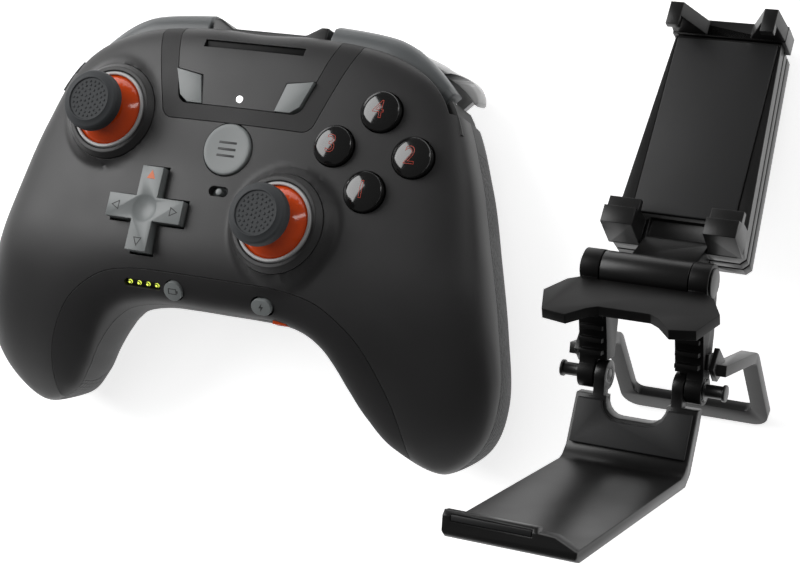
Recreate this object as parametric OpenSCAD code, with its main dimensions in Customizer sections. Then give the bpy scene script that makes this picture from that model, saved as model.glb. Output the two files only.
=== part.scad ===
// Mobile game pad and its clip-on phone holder, both lying on a table, in millimetres
// The pad is drawn with its face centre at the origin, X to the right and Y towards the shoulders
// The clip is drawn about its jaw pivot, X to the right, Y to the back and Z up, and then laid on its back

/* [Pad body] */
// Half of the width over the handles
pad_half_w = 75.5; // [70:0.5:82]
// Reach of the face from its centre to the shoulder edge
face_top = 42.5; // [41:0.5:46]
// Reach of the face from its centre to the lower edge
face_bottom = 29.5; // [29:0.5:32]
// Reach of the handle tips from the face centre
handle_reach = 58; // [55:0.5:64]
// Radius of the crown across the face
face_r = 294; // [220:1:500]
// Wall of the moulded shells
wall = 2.2; // [1.8:0.1:2.6]
// Depth of the seam between the shells, at the middle
seam_depth = 13; // [12:0.5:14]
// Depth of the body at the middle
body_depth = 33; // [32:0.5:36]
// Depth of the handles
handle_depth = 48.9; // [47:0.1:51]
// Gap at seams between fixed pieces
seam = 0.15; // [0.1:0.05:0.3]
// Gap round pieces that travel
run_gap = 0.3; // [0.2:0.05:0.45]
// Radial clearance of pins that turn
pin_gap = 0.05; // [0.02:0.01:0.08]

/* [Sticks] */
// Left stick, place across the face
left_stick_x = -37; // [-39:0.5:-35]
// Left stick, place along the face
left_stick_y = 16.7; // [14:0.1:18]
// Right stick, place across the face
right_stick_x = 19; // [18:0.5:22]
// Right stick, place along the face
right_stick_y = -7; // [-8:0.1:-5]
// Height of the left ring above the face centre
left_ring_z = 1; // [0:0.1:2]
// Height of the right ring above the face centre
right_ring_z = 3; // [2:0.1:4]
// Radius of the opening in each ring
ring_r = 9.3; // [9.1:0.1:9.6]
// Depth of the stick pivot below its ring
pivot_drop = 7; // [6.5:0.1:7.5]
// Radius of the stick cap
cap_r = 7.8; // [7:0.1:8.4]
// Height of the cap above its ring
cap_h = 10; // [9.5:0.5:12]

/* [Buttons] */
// Direction pad, place across the face
dpad_x = -19.1; // [-20:0.1:-18]
// Direction pad, place along the face
dpad_y = -7.9; // [-9:0.1:-7]
// Half length of the direction pad
dpad_reach = 11; // [10:0.1:11.5]
// Half width of one arm of the direction pad
dpad_arm = 3.05; // [2.5:0.05:3.5]
// Face button group, place across the face
group_x = 38.9; // [38:0.1:40]
// Face button group, place along the face
group_y = 14.5; // [13:0.1:15]
// Radius of the circle through the face buttons
group_r = 10.2; // [9.8:0.1:10.8]
// Radius of a face button
button_r = 5.1; // [4.5:0.1:5.3]
// Travel of a face button
button_travel = 1.4; // [1:0.1:1.6]
// Radius of the menu button
menu_r = 6.7; // [5.5:0.1:7]
// Menu button, place along the face
menu_y = 10.1; // [9:0.1:10.5]
// Radius of the battery button
battery_button_r = 2.6; // [2:0.1:2.8]
// Travel of the small buttons
small_travel = 0.8; // [0.5:0.1:1]

/* [Shoulders] */
// Underside of the face lip over the bumpers
lip_z = -7; // [-7.5:0.1:-6.5]
// How far the bumpers stand out of the body
bumper_out = 4.6; // [4:0.1:5.5]
// Lower edge of the bumpers
bumper_low = -15.4; // [-16:0.1:-15]
// Lower edge of the triggers
trigger_low = -24; // [-25:0.1:-22]
// Radius of the trigger pins
trigger_pin_r = 1.2; // [1:0.1:1.3]

/* [Inside] */
// Height of the top of the main board
board_top = -14; // [-14.5:0.1:-14]
// Thickness of the main board
board_t = 1.6; // [1:0.1:2]
// Length of the battery cell
cell_l = 48; // [40:1:52]
// Width of the battery cell
cell_w = 32; // [28:1:34]
// Share of the room between board and back that the cell fills
cell_fill = 0.82; // [0.6:0.01:0.86]

/* [Clip] */
// Half width of the tray and its wall
tray_half_w = 14.4; // [13.5:0.1:15]
// Depth of the tray from the pivot to the outer face of its lip
tray_reach = 73.5; // [60:0.1:78]
// Drop of the tray's surface below the pivot
tray_drop = 18; // [17:0.1:22]
// Radius of the pivot pins
pivot_pin_r = 1.5; // [1.2:0.1:1.7]
// Half length over the pivot pins
pivot_half_l = 19.5; // [19.2:0.1:22]
// Height of the hinge barrel above the pivot
barrel_z = 24.5; // [24:0.1:27]
// Radius of the hinge barrel
barrel_r = 4.2; // [3.8:0.1:4.5]
// Half length of the hinge barrel
barrel_half_l = 14.8; // [14.6:0.1:16]
// Lean of the cradle from upright
cradle_lean = 30.6; // [20:0.1:35]
// Half width of the cradle
cradle_half_w = 16.1; // [16:0.1:18]
// Length of the phone pad
phone_pad_l = 45.6; // [40:0.1:50]
// Half width of the phone pad
phone_pad_half_w = 12.3; // [11:0.1:13]
// Depth of the claws in front of the phone pad
claw_depth = 8.5; // [7:0.1:11]

/* [On the table] */
// Tilt of the face when the pad lies on its back
pad_tilt = 14; // [13:0.5:15]
// Height of the face centre above the table
pad_rise = 37.55; // [37.5:0.05:40]
// Recline of the clip when it lies on its back
clip_recline = 84; // [82:0.5:86]
// Height of the clip's pivot above the table
clip_rise = 45.3; // [45.2:0.1:47]

/* [Hidden] */

// Whole scene: the pad stands left of the middle and the clip right of it
pad_x = -31.8;
pad_y = 4.3;
clip_x = pad_x + 118.8;
clip_y = pad_y - 29.7;

// Colours of the mouldings
shell_grey = [0.16, 0.155, 0.155];
band_black = [0.08, 0.08, 0.08];
key_grey = [0.36, 0.37, 0.36];
gloss_black = [0.05, 0.05, 0.05];
dome_orange = [0.78, 0.22, 0.05];
liner_grey = [0.7, 0.7, 0.68];
rubber_grey = [0.14, 0.14, 0.14];
clip_black = [0.1, 0.1, 0.1];
steel = [0.7, 0.7, 0.72];

// Smoothness of round pieces
$fn = 48;

// Outline of the body, from the middle of the shoulder edge round to the tip of the handle
tip_x = pad_half_w - 15;
outer_line = [
    [0, face_top], [17, face_top + 0.5], [pad_half_w - 37.5, face_top - 2],
    [pad_half_w - 21.5, face_top - 10.5], [pad_half_w - 13, face_top - 27.5],
    [pad_half_w - 7.5, -2], [pad_half_w - 2.5, -20], [pad_half_w, -37],
    [pad_half_w - 4, 8 - handle_reach], [tip_x, -handle_reach]
];
// Outline from the middle of the lower edge to the same tip
inner_line = [
    [0, -face_bottom], [9, -face_bottom], [18, -face_bottom - 0.3], [26, -face_bottom - 2],
    [31, -face_bottom - 4.8], [34.5, -face_bottom - 8.5], [38, 15 - handle_reach],
    [42, 9.5 - handle_reach], [48.5, 3.5 - handle_reach], [tip_x, -handle_reach]
];
// Height of the seam and of the underside along the same stations
tip_z = -seam_depth - 23.5;
seam_line = [for (d = [0, 0, 0.5, 1.5, 3.5, 5, 7.5, 12, 18]) -seam_depth - d];
under_line = [
    -body_depth, -body_depth, -body_depth - 0.3, -body_depth - 1.2, 11 - handle_depth,
    6.5 - handle_depth, 2.5 - handle_depth, -handle_depth, 1.5 - handle_depth
];
stations = len(outer_line) - 1;

// Facets of the shells
ribs = 17;
inner_ribs = 12;
sides = 10;

// How the handles fall away below the face
drop_start = 12;
drop_rate = 0.0125;

function mix(a, b, t) = a + (b - a) * t;
function clamp(v) = min(1, max(0, v));
function ease(t) = let (c = clamp(t)) c * c * (3 - 2 * c);

// Smooth curve through points b to c, with a before and d after
function curve4(a, b, c, d, u) =
    b + 0.5 * u * ((c - a) + u * ((2 * a - 5 * b + 4 * c - d) + u * (3 * (b - c) + d - a)));
function along(line, s, before, after) = let (
    n = len(line) - 1,
    k = min(floor(s * n), n - 1),
    a = k == 0 ? before : line[k - 1],
    d = k + 2 > n ? after : line[k + 2]
) curve4(a, line[k], line[k + 1], d, s * n - k);
function flip_x(p) = [-p[0], p[1]];
function outer_at(s) = along(outer_line, s, flip_x(outer_line[1]), inner_line[stations - 1]);
function inner_at(s) = along(inner_line, s, flip_x(inner_line[1]), outer_line[stations - 1]);
function seam_at(s) = along(concat(seam_line, tip_z), s, seam_line[1], tip_z);
function under_at(s) = along(concat(under_line, tip_z), s, under_line[1], tip_z);

// Section shape: squarer at the middle, rounder in the handles, closing at the tip
function top_power(s) = mix(5, 2.8, ease((s - 0.35) / 0.4));
function under_power(s) = mix(3.2, 2.2, ease((s - 0.3) / 0.4));
function closing(s) = sqrt(1 - pow(clamp((s - 0.8) / 0.2), 3));
function face_field(x, y) = -x * x / (2 * face_r) - drop_rate * pow(max(0, -drop_start - y), 2);

// One point of the outer skin, or of the inner one where inset is the wall
function skin_point(side, s, angle, inset, front) = let (
    power = front ? top_power(s) : under_power(s),
    u = sign(cos(angle)) * pow(abs(cos(angle)), 2 / power),
    lift = pow(abs(sin(angle)), 2 / power),
    o = outer_at(s),
    i = inner_at(s),
    half = (o - i) / 2,
    p = (o + i) / 2 + half * u * (1 - inset / norm(half)),
    rim = seam_at(s) - (front ? 0 : seam),
    tall = front ? face_field(p[0], p[1]) - rim : rim - under_at(s),
    rise = (tall * closing(s) - inset) * lift
) [side * p[0], p[1], front ? rim + rise : rim - rise];

// Height of the face itself at a place on it
function rib_side(s, p) = let (o = outer_at(s), i = inner_at(s), a = o - i, b = p - i) a[1] * b[0] - a[0] * b[1];
function rib_through(p, low, high, left) = let (m = (low + high) / 2)
    left == 0 ? m : rib_side(m, p) > 0 ? rib_through(p, m, high, left - 1) : rib_through(p, low, m, left - 1);
function face_z(x, y) = let (
    p = [abs(x), y],
    s = rib_through(p, 0, 0.95, 16),
    o = outer_at(s),
    i = inner_at(s),
    u = abs((p - (o + i) / 2) * (o - i)) / (norm(o - i) * norm(o - i) / 2),
    lift = pow(max(0, 1 - pow(u, top_power(s))), 1 / top_power(s)),
    rim = seam_at(s)
) rim + (face_field(x, y) - rim) * lift;

// Stations of the ribs, closer together towards the tip
function rib_s(k) = 1 - pow(1 - abs(k) / (ribs + 1), 1.6);
function strip(a, b, c, d) = [[a, b, c], [a, c, d]];
function turned(faces) = [for (f = faces) [f[0], f[2], f[1]]];

// Half shell of the body: front is the face, otherwise the back
module half_shell(front) {
    outer = [for (k = [-ribs:ribs]) for (j = [0:sides])
        skin_point(sign(k + 0.5), rib_s(k), 180 * j / sides, 0, front)];
    inner = [for (k = [-inner_ribs:inner_ribs]) for (j = [0:sides])
        skin_point(sign(k + 0.5), rib_s(k), 180 * j / sides, wall, front)];
    rim_tip = tip_z - (front ? 0 : seam);
    tips = [[-tip_x, -handle_reach, rim_tip], [tip_x, -handle_reach, rim_tip]];
    row = sides + 1;
    last = 2 * ribs;
    tip = (last + 1) * row;
    base = tip + 2;
    skip = ribs - inner_ribs;
    far = 2 * inner_ribs;
    faces = concat(
        [for (r = [0:last - 1]) for (j = [0:sides - 1])
            each strip(r * row + j, (r + 1) * row + j, (r + 1) * row + j + 1, r * row + j + 1)],
        [for (r = [0:far - 1]) for (j = [0:sides - 1])
            each turned(strip(base + r * row + j, base + (r + 1) * row + j,
                base + (r + 1) * row + j + 1, base + r * row + j + 1))],
        [for (j = [0:sides - 1]) [last * row + j, tip + 1, last * row + j + 1]],
        [for (j = [0:sides - 1]) [j + 1, tip, j]],
        [for (j = [1:sides - 1]) [base + far * row, base + far * row + j, base + far * row + j + 1]],
        [for (j = [1:sides - 1]) [base, base + j + 1, base + j]],
        [for (q = [0:far - 1]) each turned(strip((q + skip) * row, (q + skip + 1) * row,
            base + (q + 1) * row, base + q * row))],
        [for (q = [0:far - 1]) each turned(strip(base + q * row + sides, base + (q + 1) * row + sides,
            (q + skip + 1) * row + sides, (q + skip) * row + sides))],
        handle_rim(base + far * row, last - skip, 1, row, last, tip + 1),
        turned(handle_rim(base, skip, -1, row, 0, tip))
    );
    polyhedron(concat(outer, tips, inner), front ? faces : turned(faces), convexity = 8);
}

// Closed part of the rim, from the end of the hollow to the tip of a handle
function handle_rim(in, first, step, row, end, tip) = concat(
    [
        [(first + step) * row, first * row, in],
        [(first + step) * row, in, in + sides],
        [(first + step) * row, in + sides, (first + step) * row + sides],
        [(first + step) * row + sides, in + sides, first * row + sides]
    ],
    [for (r = [first + step:step:end - step]) each
        strip(r * row, r * row + sides, (r + step) * row + sides, (r + step) * row)],
    [[end * row, end * row + sides, tip]]
);

// Shoulder line: the outer outline moved out by a distance, over the span of the shoulders
shoulder_span = 0.385;
function shoulder_normal(s) = let (d = outer_at(s + 0.004) - outer_at(max(0, s - 0.004)))
    s < 0.004 ? [0, 1] : [-d[1], d[0]] / norm(d);
function shoulder_at(s, out) = outer_at(s) + shoulder_normal(s) * out;
function shoulder_row(out, from, to, count) = [for (k = [0:count]) shoulder_at(mix(from, to, k / count), out)];
function both_sides(points) = concat([for (k = [len(points) - 1:-1:1]) flip_x(points[k])], points);

// Strip along the shoulder line: a section of [out, height] points swept from one station to another,
// drawn in and lowered towards its outer end
module shoulder_sweep(section, from, to, count, draw_in, fall) {
    n = len(section);
    low = min([for (p = section) p[1]]);
    high = max([for (p = section) p[1]]);
    points = [for (k = [0:count]) for (p = section) let (
        e = pow(ease((k / count - 0.4) / 0.6), 2),
        q = shoulder_at(mix(from, to, k / count), p[0] > 0 ? p[0] * mix(1, draw_in, e) : p[0])
    ) [q[0], q[1], p[1] - fall * e * (p[1] - low) / (high - low)]];
    walls = [for (k = [0:count - 1]) for (j = [0:n - 1]) each
        strip(k * n + j, k * n + (j + 1) % n, (k + 1) * n + (j + 1) % n, (k + 1) * n + j)];
    ends = concat(
        [for (j = [1:n - 2]) [0, j + 1, j]],
        [for (j = [1:n - 2]) [count * n, count * n + j, count * n + j + 1]]
    );
    polyhedron(points, concat(walls, ends), convexity = 6);
}

// Shoulder pocket behind the bumpers and triggers, open to the outside below the lip
pocket_in = 5.5;
pocket_low = -60;
module shoulder_pocket() {
    inner_edge = both_sides(shoulder_row(-pocket_in, 0, shoulder_span, 8));
    far_x = pad_half_w + 10;
    far_y = face_top + 20;
    end = inner_edge[len(inner_edge) - 1];
    translate([0, 0, pocket_low])
        linear_extrude(height = lip_z - pocket_low)
            polygon(concat(inner_edge, [[far_x, end[1]], [far_x, far_y], [-far_x, far_y], [-far_x, end[1]]]));
}

// Laying the two products on the table
module on_table() {
    translate([pad_x, pad_y, pad_rise])
        rotate([-pad_tilt, 0, 0])
            children();
}
module clip_on_table() {
    translate([clip_x, clip_y, clip_rise])
        rotate([-clip_recline, 0, 0])
            children();
}

// Straight wall standing through the face, from a plan outline
cut_low = -handle_depth - 10;
cut_high = 12;
module through(points, grow = 0) {
    translate([0, 0, cut_low])
        linear_extrude(height = cut_high - cut_low)
            if (grow == 0) {
                polygon(points);
            } else {
                offset(delta = grow) polygon(points);
            }
}
module hole(x, y, r) {
    translate([x, y, -12])
        cylinder(r = r, h = cut_high + 12);
}
function mirrored(points) = concat(points, [for (k = [len(points) - 1:-1:0]) flip_x(points[k])]);
function corner_arc(c, r, from, to, n) = [for (k = [0:n]) let (a = mix(from, to, k / n)) c + r * [cos(a), sin(a)]];

// Panel inside the dark band, and the outer edge of the band, as half outlines
band_foot = 16.8;
band_w = 4.2;
band_corner = 3.5;
panel_outline = mirrored(concat(
    [[23, face_top + 8]],
    [[23, face_top - 2.7]],
    corner_arc([18.6 - band_corner, band_foot + band_w + band_corner], band_corner, -10, -90, 4)
));
band_outline = mirrored(concat(
    [[29, face_top + 8]],
    [[29, face_top - 3]],
    corner_arc([22.4 - band_corner, band_foot + band_corner], band_corner, -15, -90, 4)
));
// Upper edge of the lower band and its way down the inside of the handles
lower_edge = [
    [0, -22.5], [10, -22.5], [20, -22.7], [29.5, -24.1], [36.5, -27.4], [42.8, -32.4], [47.8, -39.4],
    [51.3, -47], [53, -56]
];
function lower_at(s) = along(lower_edge, s, flip_x(lower_edge[1]), [53.5, -66]) - [0, face_bottom - 29.5];
lower_half = [for (k = [0:16]) lower_at(k / 16)];
lower_outline = concat(both_sides(lower_half), [[53, -handle_reach - 20], [-53, -handle_reach - 20]]);
// Grip on the back of a handle
grip_edge = [
    [pad_half_w - 18, 44], [pad_half_w - 15, 22], [pad_half_w - 18, 2], [pad_half_w - 25, -18],
    [pad_half_w - 32, -34], [pad_half_w - 33, -44], [pad_half_w - 28, -60]
];
function grip_at(s) = along(grip_edge, s, grip_edge[0], grip_edge[6]);
grip_outline = concat([for (k = [0:12]) grip_at(k / 12)], [[tip_x, -handle_reach - 15],
    [pad_half_w + 15, -handle_reach - 15], [pad_half_w + 15, 44]]);

// Select and start keys in plan, the right one
start_outline = [[20, 29.8], [12.6, 28.6], [10.6, 21.3], [15, 21.3], [17.4, 23]];
start_notch = [[26, 31.1], [12.2, 28.9], [9.9, 18], [26, 18]];
select_outline = [for (p = start_outline) flip_x(p)];
key_middle = [14.9, 25.2];

// Lights and small keys on the lower band, measured from the lower edge
low_tilt = 35;
lights_x = -18.8;
lights_half = 4.4;
lights_y = 3.1 - face_bottom;
light_step = 2.7;
battery_button_x = -9.2;
battery_button_y = 2.8 - face_bottom;
assist_x = 16.4;
assist_y = 2.4 - face_bottom;
assist_half = 0.7;
assist_r = 2.1;
assist_gap = 0.5;
switch_y = -0.8;
switch_half = 1.5;
switch_r = 1.3;
switch_travel = 1.1;
slot_half = 14.6;
slot_y = face_top - 4.9;
slot_w = 2.1;
light_y = 23.4;
light_r = 0.9;
port_x = 20;
port_w = 4;
port_h = 2.4;
port_z = -10.5;

// Places where the housing screws pull the shells together
upper_post = 3.4 - body_depth;
lower_post = -body_depth - 0.1;
screw_places = [
    [-29.3, face_top - 11.5, upper_post], [29.3, face_top - 11.5, upper_post],
    [-35, -14, lower_post], [35, -14, lower_post]
];
screw_r = 1;
screw_head_r = 1.9;
boss_r = 2.4;
post_r = 2.7;
seat_depth = 3.2;

// Place on the sloping lower band, with Z standing out of it
module on_low_band(x, y) {
    translate([x, y, face_z(x, y)])
        rotate([low_tilt, 0, 0])
            children();
}

// Round slot with its long way across the pad
module round_slot(x, y, half, r, low, high) {
    translate([x, y, low]) {
        translate([-half, 0, 0]) cylinder(r = r, h = high - low);
        translate([half, 0, 0]) cylinder(r = r, h = high - low);
        translate([-half, -r, 0]) cube([2 * half, 2 * r, high - low]);
    }
}

// Collar seat radius and the face holes for the sticks
collar_r = ring_r + 3.4;
module stick_holes() {
    hole(left_stick_x, left_stick_y, collar_r + seam);
    hole(right_stick_x, right_stick_y, collar_r + seam);
}
module cross(reach, arm, low, high) {
    translate([-reach, -arm, low]) cube([2 * reach, 2 * arm, high - low]);
    translate([-arm, -reach, low]) cube([2 * arm, 2 * reach, high - low]);
}
dpad_gap = 0.6;
function group_place(turn) = [group_x + group_r * sin(turn), group_y + group_r * cos(turn)];

module front_body() {
    difference() {
        half_shell(true);
        shoulder_pocket();
    }
}

// Skirt of the face that rises to the collar of a stick
skirt_slope = 0.75;
skirt_drop = 1.7;
module stick_skirt(x, y, ring, deep) {
    crown = collar_r + 2 * seam;
    translate([x, y, ring - deep])
        cylinder(r1 = crown + skirt_slope * (deep - skirt_drop), r2 = crown, h = deep - skirt_drop);
}

module front_shell() {
    color(shell_grey) on_table() {
        difference() {
            union() {
                front_body();
                stick_skirt(left_stick_x, left_stick_y, left_ring_z, 7);
                stick_skirt(right_stick_x, right_stick_y, right_ring_z, 5.5);
            }
            through(band_outline);
            through(lower_outline);
            stick_holes();
            translate([dpad_x, dpad_y, 0]) cross(dpad_reach + dpad_gap, dpad_arm + dpad_gap, -12, cut_high);
            for (turn = [0:90:270]) {
                hole(group_place(turn)[0], group_place(turn)[1], button_r + run_gap);
            }
            hole(0, menu_y, menu_r + run_gap);
            round_slot(0, switch_y, switch_half, switch_r, -12, cut_high);
        }
        for (p = screw_places) {
            translate([p[0], p[1], board_top + seam])
                difference() {
                    cylinder(r = boss_r, h = face_z(p[0], p[1]) - wall / 2 - board_top - seam);
                    translate([0, 0, -1]) cylinder(r = screw_r + pin_gap, h = 7);
                }
        }
    }
}

module centre_panel() {
    color(shell_grey) on_table() {
        difference() {
            intersection() {
                front_body();
                through(panel_outline, -seam);
            }
            through([for (p = start_notch) flip_x(p)]);
            through(start_notch);
            translate([-slot_half, slot_y - slot_w / 2, -12]) cube([2 * slot_half, slot_w, cut_high + 12]);
            hole(0, light_y, light_r + seam);
        }
    }
}

module panel_band() {
    color(band_black) on_table() {
        difference() {
            intersection() {
                front_body();
                through(band_outline, -seam);
            }
            through(panel_outline);
        }
    }
}

module lower_band() {
    color(band_black) on_table() {
        difference() {
            intersection() {
                front_body();
                through(lower_outline, -seam);
            }
            on_low_band(lights_x, lights_y) round_slot(0, 0, lights_half, 1.1, -6, 8);
            on_low_band(battery_button_x, battery_button_y)
                translate([0, 0, -6]) cylinder(r = battery_button_r + run_gap, h = 14);
            on_low_band(assist_x, assist_y) round_slot(0, 0, assist_half, assist_r + assist_gap, -6, 8);
            translate([port_x - port_w / 2 - seam, -face_bottom - 8, port_z - port_h / 2 - seam])
                cube([port_w + 2 * seam, 12, port_h + 2 * seam]);
        }
    }
}

module rear_body() {
    difference() {
        half_shell(false);
        shoulder_pocket();
    }
}

module rear_shell() {
    color(band_black) on_table() {
        difference() {
            union() {
                difference() {
                    rear_body();
                    through(grip_outline);
                    mirror([1, 0, 0]) through(grip_outline);
                }
                for (p = screw_places) {
                    translate([p[0], p[1], p[2]])
                        cylinder(r = post_r, h = board_top - board_t - p[2]);
                }
            }
            for (p = screw_places) {
                translate([p[0], p[1], p[2] - 8])
                    cylinder(r = screw_head_r + run_gap, h = seat_depth + 8);
                translate([p[0], p[1], p[2]])
                    cylinder(r = screw_r + pin_gap, h = body_depth);
            }
        }
    }
}

module grip() {
    intersection() {
        rear_body();
        through(grip_outline, -seam);
    }
}
module left_grip() {
    color(rubber_grey) on_table() mirror([1, 0, 0]) grip();
}
module right_grip() {
    color(rubber_grey) on_table() grip();
}

// Bridge between the bumpers, dipped at the middle
bridge_half = 17;
bridge_low = -21;
module shoulder_bridge() {
    bridge_out = 3.5;
    back = shoulder_row(-pocket_in + seam, 0, 0.11, 3);
    color(gloss_black) on_table()
        translate([0, 0, bridge_low])
            linear_extrude(height = lip_z - seam - bridge_low)
                polygon(concat(
                    [for (p = both_sides(back)) [max(-bridge_half, min(bridge_half, p[0])), p[1]]],
                    [[bridge_half, face_top + bridge_out], [bridge_half - 2.2, face_top + bridge_out],
                    [bridge_half - 6.2, face_top + 1.1], [6.2 - bridge_half, face_top + 1.1],
                    [2.2 - bridge_half, face_top + bridge_out], [-bridge_half, face_top + bridge_out]]
                ));
}

// Frame that closes the shoulder pocket and carries the bumper and trigger pins
frame_t = 1.8;
frame_low = 8.6 - body_depth;
frame_high = lip_z - 1.35;
ear_root = 9;
trigger_pin_y = face_top - 3.5;
trigger_pin_z = -18.4;
ear_x = [21.4, 38.6];
ear_t = 1.4;
ear_r = 2.3;
bumper_pin = [19.6, face_top - 2.6];
bumper_pin_r = 1;
module frame_ear(x) {
    translate([x, 0, 0]) {
        translate([0, trigger_pin_y, trigger_pin_z]) rotate([0, 90, 0]) cylinder(r = ear_r, h = ear_t);
        translate([0, trigger_pin_y - ear_root, trigger_pin_z - ear_r]) cube([ear_t, ear_root, 2 * ear_r]);
    }
}
module frame_side() {
    difference() {
        union() {
            for (x = ear_x) {
                frame_ear(x);
            }
            translate([bumper_pin[0] - 1.7, face_top - pocket_in - 0.9, bumper_low - 1.8])
                cube([3.4, pocket_in + 0.9, 1.5]);
        }
        translate([0, trigger_pin_y, trigger_pin_z]) rotate([0, 90, 0]) cylinder(r = trigger_pin_r, h = 60);
        translate([bumper_pin[0], bumper_pin[1], bumper_low - 5]) cylinder(r = bumper_pin_r, h = 10);
    }
}
module hub_relief() {
    for (span = hub_spans) {
        translate([span[0] - run_gap, trigger_pin_y, trigger_pin_z]) rotate([0, 90, 0])
            cylinder(r = hub_r + run_gap, h = span[1] - span[0] + 2 * run_gap);
    }
}
// Cheek that fills the pocket beyond the end of a bumper
cheek_from = 0.34;
cheek_to = 0.46;
cheek_out = -0.6;
module frame_cheek() {
    end = shoulder_at(shoulder_span, -pocket_in);
    back = shoulder_row(-pocket_in - 0.8, cheek_from, cheek_to, 8);
    intersection() {
        translate([0, 0, bridge_low])
            linear_extrude(height = frame_high - bridge_low)
                polygon(concat(shoulder_row(cheek_out, cheek_from, cheek_to, 8), [for (k = [8:-1:0]) back[k]]));
        translate([0, end[1] + seam, -60]) cube([pad_half_w + 10, 60, 60]);
    }
}
module shoulder_frame() {
    front_edge = both_sides(shoulder_row(-pocket_in - seam, 0, shoulder_span, 8));
    back_edge = both_sides(shoulder_row(-pocket_in - seam - frame_t, 0, shoulder_span, 8));
    count = len(back_edge);
    color(band_black) on_table() {
        difference() {
            translate([0, 0, frame_low])
                linear_extrude(height = frame_high - frame_low)
                    polygon(concat(front_edge, [for (k = [count - 1:-1:0]) back_edge[k]]));
            hub_relief();
            mirror([1, 0, 0]) hub_relief();
        }
        frame_side();
        frame_cheek();
        mirror([1, 0, 0]) {
            frame_side();
            frame_cheek();
        }
    }
}

// Bumper: a rounded strip tucked under the lip of the face
bumper_from = 0.116;
bumper_to = 0.326;
bumper_top = lip_z - 0.4;
bumper_in = 3.2;
module bumper() {
    section = [
        [-bumper_in, bumper_top], [0.6, bumper_top], [bumper_out - 1.3, bumper_top - 1],
        [bumper_out - 0.2, bumper_top - 3], [bumper_out, bumper_top - 5.4],
        [bumper_out - 0.5, bumper_low], [-bumper_in, bumper_low]
    ];
    difference() {
        shoulder_sweep(section, bumper_from, bumper_to, 14, 0.12, 0);
        translate([bumper_pin[0], bumper_pin[1], bumper_low - 5])
            cylinder(r = bumper_pin_r + pin_gap, h = bumper_top - 1.5 - bumper_low + 5);
    }
}
module left_bumper() {
    color(key_grey) on_table() mirror([1, 0, 0]) bumper();
}
module right_bumper() {
    color(key_grey) on_table() bumper();
}

// Trigger: a curved finger piece on two hubs
trigger_from = 0.146;
trigger_to = 0.345;
trigger_top = bumper_low - 1.6;
hub_r = 2.6;
hub_spans = [[23.2, 28.6], [32.4, 38.2]];
module trigger() {
    section = [
        [1.9, trigger_top], [bumper_out - 0.4, trigger_top], [bumper_out + 1.2, trigger_top - 1.6],
        [bumper_out + 1.4, trigger_low + 1.8], [bumper_out + 0.2, trigger_low],
        [bumper_out - 1.4, trigger_low + 0.4], [1.9, trigger_low + 4]
    ];
    difference() {
        union() {
            shoulder_sweep(section, trigger_from, trigger_to, 14, 0.35, 1.2);
            for (span = hub_spans) {
                translate([span[0], trigger_pin_y, trigger_pin_z]) rotate([0, 90, 0])
                    cylinder(r = hub_r, h = span[1] - span[0]);
                translate([span[0], trigger_pin_y, trigger_pin_z - 1.2])
                    cube([span[1] - span[0], 6.4, 2.4]);
            }
        }
        translate([0, trigger_pin_y, trigger_pin_z]) rotate([0, 90, 0])
            cylinder(r = trigger_pin_r + pin_gap, h = 60);
    }
}
module left_trigger() {
    color(liner_grey) on_table() mirror([1, 0, 0]) trigger();
}
module right_trigger() {
    color(liner_grey) on_table() trigger();
}

module pins_side() {
    translate([ear_x[0], trigger_pin_y, trigger_pin_z]) rotate([0, 90, 0])
        cylinder(r = trigger_pin_r, h = ear_x[1] + ear_t - ear_x[0]);
    translate([bumper_pin[0], bumper_pin[1], bumper_low - 1.8])
        cylinder(r = bumper_pin_r, h = bumper_top - 2 - bumper_low + 1.8);
}
module shoulder_pins() {
    color(steel) on_table() {
        pins_side();
        mirror([1, 0, 0]) pins_side();
    }
}
module spring_sleeve() {
    translate([hub_spans[0][1] + run_gap, trigger_pin_y, trigger_pin_z]) rotate([0, 90, 0])
        difference() {
            cylinder(r = trigger_pin_r + 0.9, h = hub_spans[1][0] - hub_spans[0][1] - 2 * run_gap);
            translate([0, 0, -1]) cylinder(r = trigger_pin_r + pin_gap, h = 9);
        }
}
module trigger_springs() {
    color(steel) on_table() {
        spring_sleeve();
        mirror([1, 0, 0]) spring_sleeve();
    }
}

// Dark bar sunk in the slot by the shoulder edge
module slot_bar() {
    low = face_z(0, slot_y) - wall - 1;
    color(gloss_black) on_table() {
        translate([seam - slot_half, slot_y - slot_w / 2 + seam, low])
            cube([2 * (slot_half - seam), slot_w - 2 * seam, wall + 0.2]);
        translate([-slot_half - 1, slot_y - 2.6, low - 0.8]) cube([2 * slot_half + 2, 2.6, 0.8]);
    }
}

// Stick: collar, liner ring, module, yoke, dome on its shaft and cap
dome_r = sqrt(pow(ring_r - 0.4, 2) + pivot_drop * pivot_drop);
dome_t = 1.1;
dome_edge = 71;
stick_tilt = 15;
press_travel = 0.6;
liner_t = 0.8;
trunnion_r = 0.9;
module_half = 6.9;
module_t = 1.1;
module_rim = 1.6;
yoke_half = 5.5;
yoke_in = 4;
yoke_t = 1.2;
stem_r = 2.6;
module stick_collar() {
    clear = dome_r + 0.35;
    inside = ring_r + liner_t + 0.35;
    rotate_extrude()
        polygon([
            [inside, 0], [inside, sqrt(clear * clear - inside * inside) - pivot_drop],
            [clear - 0.3, sqrt(clear * clear - pow(clear - 0.3, 2)) - pivot_drop + 0.4],
            [clear, -pivot_drop], [collar_r, -pivot_drop], [collar_r, 0.2 - skirt_drop], [ring_r + 2.35, -0.15],
            [ring_r + 2.15, 0]
        ]);
}
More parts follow.
